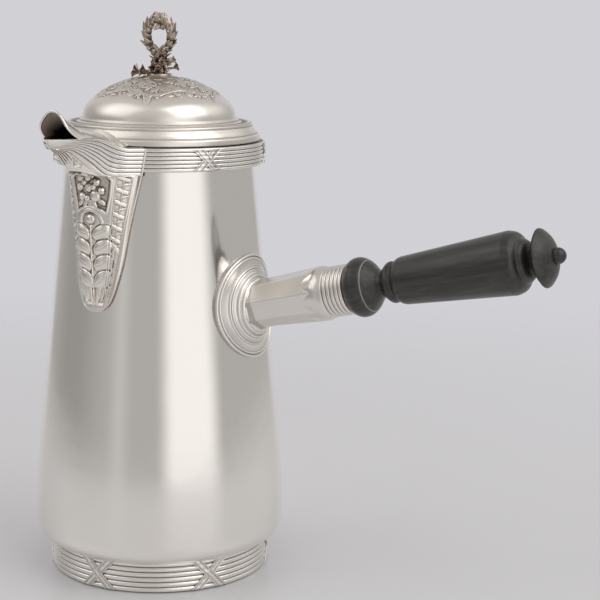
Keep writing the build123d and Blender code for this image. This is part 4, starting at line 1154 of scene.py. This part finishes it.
ogee = through([(40.5, LID_BASE + 3.25), (39.9, LID_BASE + 4.5), (39.25, LID_BASE + 5.4),
                (38.75, LID_BASE + 6.1)], 0.2)
step = through([(38.55, LID_BASE + 6.3), (38.55, LID_BASE + 6.9), (38.1, LID_BASE + 7.5),
                (37.4, LID_BASE + 7.65),
                (36.9, LID_BASE + 7.55)], 0.12)
cove = through([(36.6, LID_BASE + 7.3), (35.0, LID_BASE + 7.35), (33.6, LID_BASE + 7.75),
                (33.2, LID_BASE + 8.1)], 0.2)
foot_bead = through([(33.15, LID_BASE + 8.25), (33.0, LID_BASE + 8.75), (32.45, LID_BASE + 9.0),
                     (32.0, LID_BASE + 8.8)], 0.1)
outer = np.vstack([[[41.1, LID_BASE], [41.8, LID_BASE + 0.05]], lip, ogee, step, cove, foot_bead, side_arc,
                   crown_arc])
inner_dome = np.vstack([arc_points((DOME_RADIUS - SIDE_ROUND, DOME_FOOT), SIDE_ROUND - 1, 3, crown_turn,
                                   16)[:-1],
                        arc_points((0, crown_middle), CROWN - 1, crown_turn, 89.9, 40)])
under = np.vstack([[[41.0, LID_BASE + 0.1], [41.0, LID_BASE + 2.3], [37.3, LID_BASE + 6.1],
                    [31.9, LID_BASE + 7.0]], inner_dome])
print("dome from", round(DOME_FOOT, 1), "to", round(DOME_TOP, 1))

# %% Chasing on the dome
LID_TURNS = 640
grid = turned_grid(outer, LID_TURNS)
from_top = CROWN * np.arcsin(np.clip(outer[:, 0] / CROWN, 0, 1))
first_dome = len(outer) - len(side_arc) - len(crown_arc)
turn = np.linspace(0, 2 * math.pi, LID_TURNS, endpoint=False)
px = from_top[first_dome:, None] * np.cos(turn)
py = from_top[first_dome:, None] * np.sin(turn)
out = np.hypot(px, py)
chasing = np.zeros(px.shape)
REPEATS = 6
edge_line = 28.2 + 2.0 * np.cos(REPEATS * turn[None] + 0.6) + 0.7 * np.cos(3 * REPEATS * turn[None])
edge_line = edge_line + 0.6 * np.cos(11 * turn[None] + 1.0) + 0.45 * np.cos(29 * turn[None] + 2.0)
ground = step_up(edge_line - out, 0, 3.0) * step_up(out, 5.6, 6.4)
chance = np.random.default_rng(7)
stipple = blurred(chance.random(px.shape), 2) - 0.5
chasing -= 0.16 * ground
chasing += 0.50 * stipple * ground


# %% Chasing punches
def stamp(at, size, turn_deg, shape):
    """Raises a motif: shape gives its height over the ground, from its own coordinates."""
    dome, u, v = dome_bump(px, py, at, size, turn_deg)
    here = dome > 0
    raised = shape(dome[here], u[here], v[here])
    chasing[here] = np.maximum(chasing[here], raised)


def on_plan(distance, angle):
    """A place on the dome's plan."""
    return distance * math.cos(math.radians(angle)), distance * math.sin(math.radians(angle))


def rose(dome, u, v):
    """Rings of petals that overlap in a spiral."""
    spread = np.hypot(u, v)
    petals = (np.arctan2(v, u) * 5 / (2 * math.pi) + spread * 2.6) % 1
    return 0.72 * dome ** 0.7 * (0.45 + 0.55 * petals) + 0.25 * np.exp(-(spread / 0.2) ** 2) - 0.12


def leaf(dome, u, v):
    """A pointed leaf with a midrib and side veins."""
    veins = 0.5 + 0.5 * np.cos(13 * (u - 0.7 * np.abs(v)))
    inside = step_up(1 - np.abs(u) ** 1.6 - np.abs(v) * (1 + 0.12 * veins), 0, 0.15)
    return inside * (0.55 * dome - 0.26 * np.exp(-(v / 0.12) ** 2) - 0.10 * veins) - 0.2 * (1 - inside)


def berry(dome, u, v):
    """A bead."""
    return 0.55 * dome


# %% [markdown]
# The pattern is struck six times round the dome, then small leaves are scattered between with a seeded
# draw, as a chaser fills the ground that is left.

# %% Strike the pattern
for k in range(REPEATS):
    base = 360 * k / REPEATS + 14
    for turn_by, distance, long, spin in (
            (-15, 21.5, 3.4, -60), (14, 21.0, 3.5, 62), (-24, 18.0, 3.2, -35), (23, 17.0, 3.2, 40),
                                          (0, 25.6, 2.8, 90),
            (7, 24.6, 2.7, 50), (-8, 24.8, 2.7, -48), (29, 22.4, 2.9, 80), (-30, 25.2, 2.6, -85),
                                          (4, 14.0, 3.0, 95),
            (31, 12.6, 2.7, 85), (-12, 11.0, 2.6, 70), (17, 9.6, 2.3, -80), (36, 19.6, 2.6, -50),
                                          (-19, 14.2, 2.7, 20)):
        stamp(on_plan(distance, base + turn_by), (0.86 * long, 0.38 * long), base + spin, leaf)
    stamp(on_plan(19.6, base), (3.9, 3.7), 30 * k, rose)
    stamp(on_plan(15.2, base + 27), (2.3, 2.2), 50 * k, rose)
    stamp(on_plan(24.6, base + 21), (1.9, 1.8), 20 * k, rose)
    for step_out in range(9):
        along_spray = 25.8 + 0.75 * step_out
        for aside in (-1, 0, 1):
            wobble = 1.3 * chance.random() + 2.6 * aside * (1 - step_out / 10)
            stamp(on_plan(along_spray, base - 22 + wobble * 1.3), (0.62, 0.55), 0, berry)
    for turn_by, distance in ((38, 16.8), (41, 18.0), (11, 26.6), (-12, 27.0), (-9, 16.0), (9, 15.4)):
        stamp(on_plan(distance, base + turn_by), (0.8, 0.75), 0, berry)
for _ in range(280):
    distance = 8.0 + 19.0 * math.sqrt(chance.random())
    angle = 360 * chance.random()
    small = 0.85 + 0.75 * chance.random()
    reach_out = 27.0 + 2.2 * math.cos(math.radians(REPEATS * angle) + 0.6)
    if distance < reach_out:
        stamp(on_plan(distance, angle), (small, 0.42 * small), 360 * chance.random(), leaf)
ribbon_line = 23.4 + 1.9 * np.sin(REPEATS * turn[None] + 1.9)
ribbon = np.abs(out - ribbon_line)
strip_height = 0.26 * step_up(0.95 - ribbon, 0, 0.2) + 0.14 * np.exp(-((ribbon - 0.75) / 0.2) ** 2)
chasing = np.where((ribbon < 1.0) & (chasing < 0.10), np.maximum(chasing, strip_height), chasing)
inner_ring = step_up(out, 5.0, 5.4) * step_up(7.2 - out, 0, 0.4)
chasing = np.where(inner_ring > 0.5, 0.30 * np.abs(np.sin(9 * turn[None])) * inner_ring, chasing)
chasing = blurred(chasing, 1) * step_up(edge_line + 1.6 - out, 0, 2.6)
up_way = np.stack([outer[first_dome:, 0] / CROWN, (outer[first_dome:, 1] - crown_middle) / CROWN], -1)
up_way /= np.linalg.norm(up_way, axis=1)[:, None]
lift = chasing * 0.60 * step_up(32.0 - out, 0, 6.0)
grid[first_dome:, :, 0] += lift * up_way[:, 0, None] * np.cos(turn)
grid[first_dome:, :, 1] += lift * up_way[:, 0, None] * np.sin(turn)
grid[first_dome:, :, 2] += lift * up_way[:, 1, None]
worn = 0.14 * step_up(30.0 - out, 0, 4.0)
dome_hollow = np.clip((blurred(chasing, 8) - chasing) / 0.16, 0,
                      1) * 0.85 + 0.20 * ground * (chasing < 0.02) + worn
lid_hollow = np.zeros(grid.shape[:2])
lid_hollow[first_dome:] = np.clip(dome_hollow, 0, 1)
for at, wide in ((LID_BASE + 3.05, 0.16), (LID_BASE + 6.2, 0.2), (LID_BASE + 7.35, 0.12),
                 (LID_BASE + 8.12, 0.14)):
    lid_hollow[:first_dome] += 0.8 * np.exp(-((outer[:first_dome, 1] - at) / wide) ** 2)[:, None]
under_grid = turned_grid(under[::-1], LID_TURNS // 5)
make_piece("chased_lid", [sheet_of(grid, False, True, np.clip(lid_hollow, 0, 1)),
                          sheet_of(under_grid, False, True, 0.5)],
           "lid", chased_lid, ["lid_cover"], 60)

# %% [markdown]
# ## The hood
# A hood is soldered to the lid's flange and roofs the beak. It starts as a low arch, and at the front it
# climbs to a leaning pointed mouth with a thin rolled edge. Its lining is brown with tarnish, and further
# into the mouth it is darkened more as painted shade. Each section across it blends from a flat arch to a
# high one, and the columns are stretched so that the last one lies on the mouth.

# %% Hood
HOOD = [(0.00, 0.0), (0.22, 0.0), (0.30, 0.03), (0.45, 0.10), (0.60, 0.26), (0.72, 0.56), (0.84, 0.95)]
MOUTH_FOOT = 65.6
MOUTH_FOOT_Z = RIM + 4.8
MOUTH_LEAD = 6.3
MOUTH_RISE = 6.7
MOUTH_HALF = 8.9
HOOD_RIDGE = 7.2


def hood_point(place, arch, inset):
    """Points of the hood at places along the beak and angles round its arch."""
    _, edge, edge_z, _, _, _ = beak_section(place)
    reach = np.where(place < 0.08, JOINT_REACH - 3.0 + place / 0.08
                     * (3.0 + 0.08 * (BEAK_REACH - JOINT_REACH)),
                     JOINT_REACH + place * (BEAK_REACH - JOINT_REACH))
    edge = np.where(place < 0.10, np.minimum(edge, JOINT_HALF * 0.80 - REED_DEPTH), edge)
    base = edge_z + 0.1
    rooted = 0.72 + 0.28 * step_up(place, 0.0, 0.30)
    half = np.maximum((edge + 0.55) * rooted, MOUTH_HALF) - inset
    ridge = RIM + HOOD_RIDGE + 9.2 * smooth_line([p for p, _ in HOOD], [v for _, v in HOOD], place) - inset
    ridge = ridge - 2.6 * step_up(0.14 - place, 0, 0.14)
    point = np.clip((place - 0.25) / 0.45, 0, 1)
    x_share = np.cos(arch)
    bow = (1 - x_share ** 2) ** (0.90 + 0.12 * point)
    return np.stack([half * x_share, -reach, base + (ridge - base) * bow], -1)


arch = np.linspace(0, math.pi, 91)
mouth_at = np.full(arch.shape, 0.7)
for _ in range(40):
    here = hood_point(mouth_at, arch, 0.0)
    want = MOUTH_FOOT + MOUTH_LEAD * (1
                                      - (1 - np.clip((here[:, 2] - MOUTH_FOOT_Z) / MOUTH_RISE, 0, 1)) ** 2)
    mouth_at = mouth_at + 0.5 * (want + here[:, 1]) / (BEAK_REACH - JOINT_REACH)
along = np.linspace(0, 1, 120)[:, None]
arches = np.broadcast_to(arch, (120, 91))
layers = [hood_point(along * mouth_at[None], arches, inset) for inset in (0.0, 0.5, 0.45, 0.95)]
root_shade = np.concatenate([0.25 * np.exp(-np.linspace(0, 8, 120)), np.full(120, 0.4)])
hood_shell = sheet_of(np.concatenate([layers[0], layers[1][::-1]]), True, False, root_shade[:, None])
edge_path = hood_point(mouth_at, arch, 0.45)
make_piece("arched_hood", [hood_shell, bar(edge_path, 0.5, 12)], "lid", hood_silver,
           ["lid_hood"], 60)
# Painted shade: the lining's hollow rises from the mouth inward, so it darkens deeper inside the hood over
# its brown tarnish.
lining_shade_from_mouth = np.concatenate([np.full(120, 0.9), np.clip(np.linspace(0, 3.2, 120) ** 1.6 - 0.02, 0, 1)])
hood_lining = sheet_of(np.concatenate([layers[2], layers[3][::-1]]), True, False, lining_shade_from_mouth[:, None])
make_piece("hood_lining", [hood_lining], "lid", lining, (), 60)
print("hood's mouth peaks at", np.round(edge_path[45], 1))

# %% [markdown]
# ## The finial
# The finial is cast and darkened: two laurel branches bent into a ring, crossed at the foot, with flowers
# and leaves at the bottom. A leaf is one small lens-shaped mesh with a fold along its rib, and the ring is
# made of many copies that turn as they climb each side.

# %% Leaves and flowers
def leaf_shape(base, way, face, long, wide, curl=0.15):
    """A leaf with a little thickness, from its base along way, with its front towards face."""
    way = np.asarray(way, float) / np.linalg.norm(way)
    face = np.asarray(face, float) - np.dot(face, way) * way
    face /= np.linalg.norm(face)
    side = np.cross(way, face)
    t = np.linspace(0, 1, 11)[:, None]
    turn = np.linspace(0, 2 * math.pi, 14, endpoint=False)[None]
    half = wide * np.sin(math.pi * np.clip(t, 0.02, 0.985) ** 0.75) ** 0.85
    lift = 0.34 * wide * np.sin(turn) * np.sin(math.pi * np.clip(t, 0.02, 0.98)) ** 0.5
    midrib = 0.10 * np.exp(-(np.cos(turn) / 0.2) ** 2) * (np.sin(turn) > 0)
    fold = -0.16 * half * np.cos(turn) ** 2 + curl * long * t ** 2 - midrib
    shape = (long * t + 0 * turn)[..., None] * way + (half * np.cos(turn))[..., None] * side
    # Painted shade: each leaf's base, where it tucks under the next, and its side edges are darkened to give
    # dark gaps between leaves; the midrib groove holds oxide.
    depth = 0.45 * np.exp(-(np.cos(turn) / 0.22) ** 2) + np.clip(1.2 - 2.4 * t, 0, 1)
    depth = depth + 0.75 * np.abs(np.cos(turn)) ** 6
    depth = np.clip(depth, 0, 1)
    return sheet_of(np.asarray(base) + shape + (lift + fold)[..., None] * face, False, True, depth)


def flower_shape(base, way, size, long):
    """A small trumpet flower with five lobes, hollow at its mouth."""
    way = np.asarray(way, float) / np.linalg.norm(way)
    side = np.cross(way, (0.1, 0.2, 0.97))
    side /= np.linalg.norm(side)
    other = np.cross(way, side)
    turn = np.linspace(0, 2 * math.pi, 30, endpoint=False)[None]
    t = np.concatenate([np.linspace(0, 1, 9), np.linspace(0.95, 0.25, 6)])[:, None]
    inner = np.concatenate([np.zeros(9), np.ones(6)])[:, None]
    lobes = 1 + 0.22 * t ** 3 * np.cos(5 * turn)
    radius = (0.32 + (size - 0.32) * t ** 2.2) * lobes * (1 - 0.14 * inner)
    point = (long * t + 0 * turn)[..., None] * way
    point = point + (radius * np.cos(turn))[..., None] * side + (radius * np.sin(turn))[..., None] * other
    return sheet_of(np.asarray(base) + point, False, True, np.clip(inner + 0.2 * (1 - t) + 0 * turn, 0, 1))


def berry_shape(at, size):
    """A small round berry."""
    turn = np.linspace(0, 2 * math.pi, 12, endpoint=False)
    rise_turn = np.linspace(-math.pi / 2 + 0.01, math.pi / 2 - 0.01, 8)[:, None]
    ball = np.stack([np.cos(rise_turn) * np.cos(turn), np.cos(rise_turn) * np.sin(turn),
                     np.sin(rise_turn) + 0 * turn], -1)
    return sheet_of(np.asarray(at) + size * ball, False, True, 0.1)


# %% Wreath
wreath_low, wreath_high = node_box("laurel_wreath")
WREATH_Z = (wreath_low[2] + wreath_high[2]) / 2
RING = 6.15
RING_WIDE = 5.7
LOW_SHARE = 1.18
luck = np.random.default_rng(11)
ring_turn = np.radians(np.linspace(-90, 270, 90))
ring_reach = np.where(np.sin(ring_turn) < 0, RING * LOW_SHARE, RING)
ring_path = np.stack([RING_WIDE * np.cos(ring_turn), 0.35 * np.sin(6 * ring_turn),
                      WREATH_Z + ring_reach * np.sin(ring_turn)], -1)
wreath = [bar(ring_path, 1.15, 10, 1.0)]
for side in (1, -1):
    for k in range(8):
        angle = math.radians(-90 + side * (6 + 21.2 * k))
        outward = np.array([math.cos(angle), 0, math.sin(angle)])
        way = side * np.array([-math.sin(angle), 0, math.cos(angle)])
        reach = RING * (LOW_SHARE if outward[2] < 0 else 1.0)
        at = np.array([RING_WIDE * outward[0], 0, WREATH_Z + reach * outward[2]])
        grown = min(1.0, 0.66 + 0.13 * k)
        for step in range(6):
            round_turn = 2 * math.pi * (step + 0.5 * (k % 2)) / 6 + 0.15 * luck.normal()
            face = math.cos(round_turn) * outward * 0.92 + math.sin(round_turn) * np.array([0, 1.0, 0])
            inner_side = max(0.0, -math.cos(round_turn))
            lean_out = 0.04 + 0.15 * luck.random()
            long = grown * (4.9 + 0.9 * luck.random()) * (1 - 0.22 * inner_side)
            start = at + 1.3 * grown * face - 0.5 * way
            wreath.append(leaf_shape(start, way + lean_out * face, face, long,
                                     grown * (1.15 + 0.30 * luck.random()), 0.04))
        for y_side in (-1, 1):
            if (k + y_side) % 3 == 0:
                wreath.append(berry_shape(at + way * 1.2 + np.array([0, 2.0 * y_side, 0]), 0.62))
wreath.append(leaf_shape((0.9, -0.9, WREATH_Z + RING - 0.9), (-0.5, -0.35, -1.0), (0.3, -1, 0.1), 4.2, 1.6,
                         0.12))
wreath.append(leaf_shape((-0.9, 0.9, WREATH_Z + RING - 0.9), (0.5, 0.35, -1.0), (-0.3, 1, 0.1), 4.2, 1.6,
                         0.12))
make_piece("laurel_ring", wreath, "lid", oxidised, ["laurel_wreath"], 60)

# %% Foot of the finial
BOSS_TOP = node_box("finial_boss")[1][2]
boss_outline = np.vstack([[[5.2, BOSS_TOP - 1.1]],
                          through([(5.2, BOSS_TOP - 0.8), (4.95, BOSS_TOP - 0.25), (4.3, BOSS_TOP)], 0.15),
                          [[3.9, BOSS_TOP - 0.15]],
                          through([(3.6, BOSS_TOP - 0.05), (3.2, BOSS_TOP + 0.25), (2.6, BOSS_TOP + 0.2),
                                                             (0.05, BOSS_TOP + 0.1)], 0.2)])
make_piece("finial_disc", [sheet_of(turned_grid(boss_outline, 96), False, True, 0.25)], "lid",
           oxidised,
           ["finial_boss"])
knot = WREATH_Z - RING - 0.4
stems = []
for side in (1, -1):
    leg = through([(side * 2.4, WREATH_Z - RING + 1.4), (side * 0.2, knot), (-side * 1.9, knot - 3.2),
                   (-side * 4.3, BOSS_TOP + 0.6)])
    path = np.stack([leg[:, 0], 0.55 * side * np.cos(np.linspace(-1, 1.5, len(leg))), leg[:, 1]], -1)
    stems.append(bar(path, np.linspace(0.95, 0.75, len(path)), 10, 0.3))
    core = through([(side * 0.9, knot + 0.6), (side * 1.5, knot - 2.5), (side * 1.1, BOSS_TOP + 2.0),
                    (side * 1.9, BOSS_TOP)])
    path = np.stack([core[:, 0], -0.5 * side + 0 * core[:, 0], core[:, 1]], -1)
    stems.append(bar(path, np.linspace(1.0, 1.35, len(path)), 10, 0.5))
for k in range(20):
    angle = 2.4 * k
    climb = k / 20
    level = BOSS_TOP + 0.5 + 6.6 * climb
    outward = np.array([math.cos(angle), 0.8 * math.sin(angle), 0])
    way = outward * (0.9 - 0.4 * climb) + np.array([0.15, 0, 0.2 + 0.7 * luck.random()])
    stems.append(leaf_shape(outward * 1.2 + np.array([0.6, 0, level]), way,
                            (0.2 * math.cos(angle), 0.2 * math.sin(angle), 1),
                            3.6 + 1.0 * luck.random(), 1.35, -0.12))
stems.append(leaf_shape((2.0, 0, knot - 1.0), (1.0, 0, 0.55), (0, -0.3, 1), 3.6, 1.2, 0.1))
stems.append(leaf_shape((-1.8, 0, knot + 0.2), (-1.0, 0, 0.45), (0, -0.3, 1), 3.2, 1.0, 0.1))
for at in ((0.8, -2.6, knot - 4.2), (2.4, -2.0, knot - 2.9), (-1.6, -2.4, knot - 4.8),
           (2.0, 2.4, knot - 4.0),
           (-0.8, 2.4, knot - 3.4)):
    stems.append(flower_shape(np.array(at) * (0.5, 0.5, 1) - (0, 0, 0.3), (at[0], at[1], 0.9), 1.5, 1.8))
make_piece("crossed_branches", stems, "lid", oxidised, ["finial_stem"], 60)

# %% Sprays
SPRAYS = [(200, 11.2, -0.6, 2.4), (228, 8.0, -0.2, 2.1), (20, 8.0, 1.8, 1.5), (60, 7.0, 4.6, 1.3),
          (280, 7.5, 1.4, 1.4),
          (140, 7.0, 1.6, 1.4)]
sprays = []
for turn_deg, far_out, climb, size in SPRAYS:
    out_way = np.array([math.cos(math.radians(turn_deg)), math.sin(math.radians(turn_deg)), 0])
    base = out_way * 1.2 + np.array([0, 0, BOSS_TOP + 1.2])
    neck_at = out_way * (far_out - 2 * size) + np.array([0, 0, BOSS_TOP + climb])
    arched = (base + neck_at) / 2 + np.array([0, 0, 0.9])
    t = np.linspace(0, 1, 12)[:, None]
    twig = (1 - t) ** 2 * base + 2 * t * (1 - t) * arched + t * t * neck_at
    sprays.append(bar(twig, np.linspace(0.6, 0.4, 12), 8, 0.3))
    sprays.append(flower_shape(neck_at, out_way + np.array([0, 0, 0.35]), size * 1.15, 2 * size))
    aside = np.array([-out_way[1], out_way[0], 0])
    for spot, way in ((4, out_way + aside), (5, out_way - aside), (8, out_way + 0.7 * aside),
                      (9, out_way - 0.6 * aside)):
        sprays.append(leaf_shape(twig[spot], way + (0, 0, 0.2), (0, 0, 1), 3.0, 1.0, -0.1))
make_piece("flower_sprays", sprays, "lid", oxidised, ["finial_sprays"], 60)

# %% [markdown]
# ## Plain fittings
# The hinge, its pin, the bezel and the fixings have the right shape in the CAD part already. They stay,
# with the silver finishes on their own slots.

# %% CAD pieces that stay
PLAIN = {"bottom_plate": stained, "hinge_body_leaf": soft_polished, "hinge_pin": soft_polished,
         "hinge_lid_leaf": soft_polished, "lid_bezel": soft_polished, "finial_screw": soft_polished,
         "finial_nut": soft_polished, "handle_cross_pin": soft_polished}
for name, finish in PLAIN.items():
    for material_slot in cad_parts[name].material_slots:
        material_slot.material = finish
print("kept from the CAD:", sorted(PLAIN))
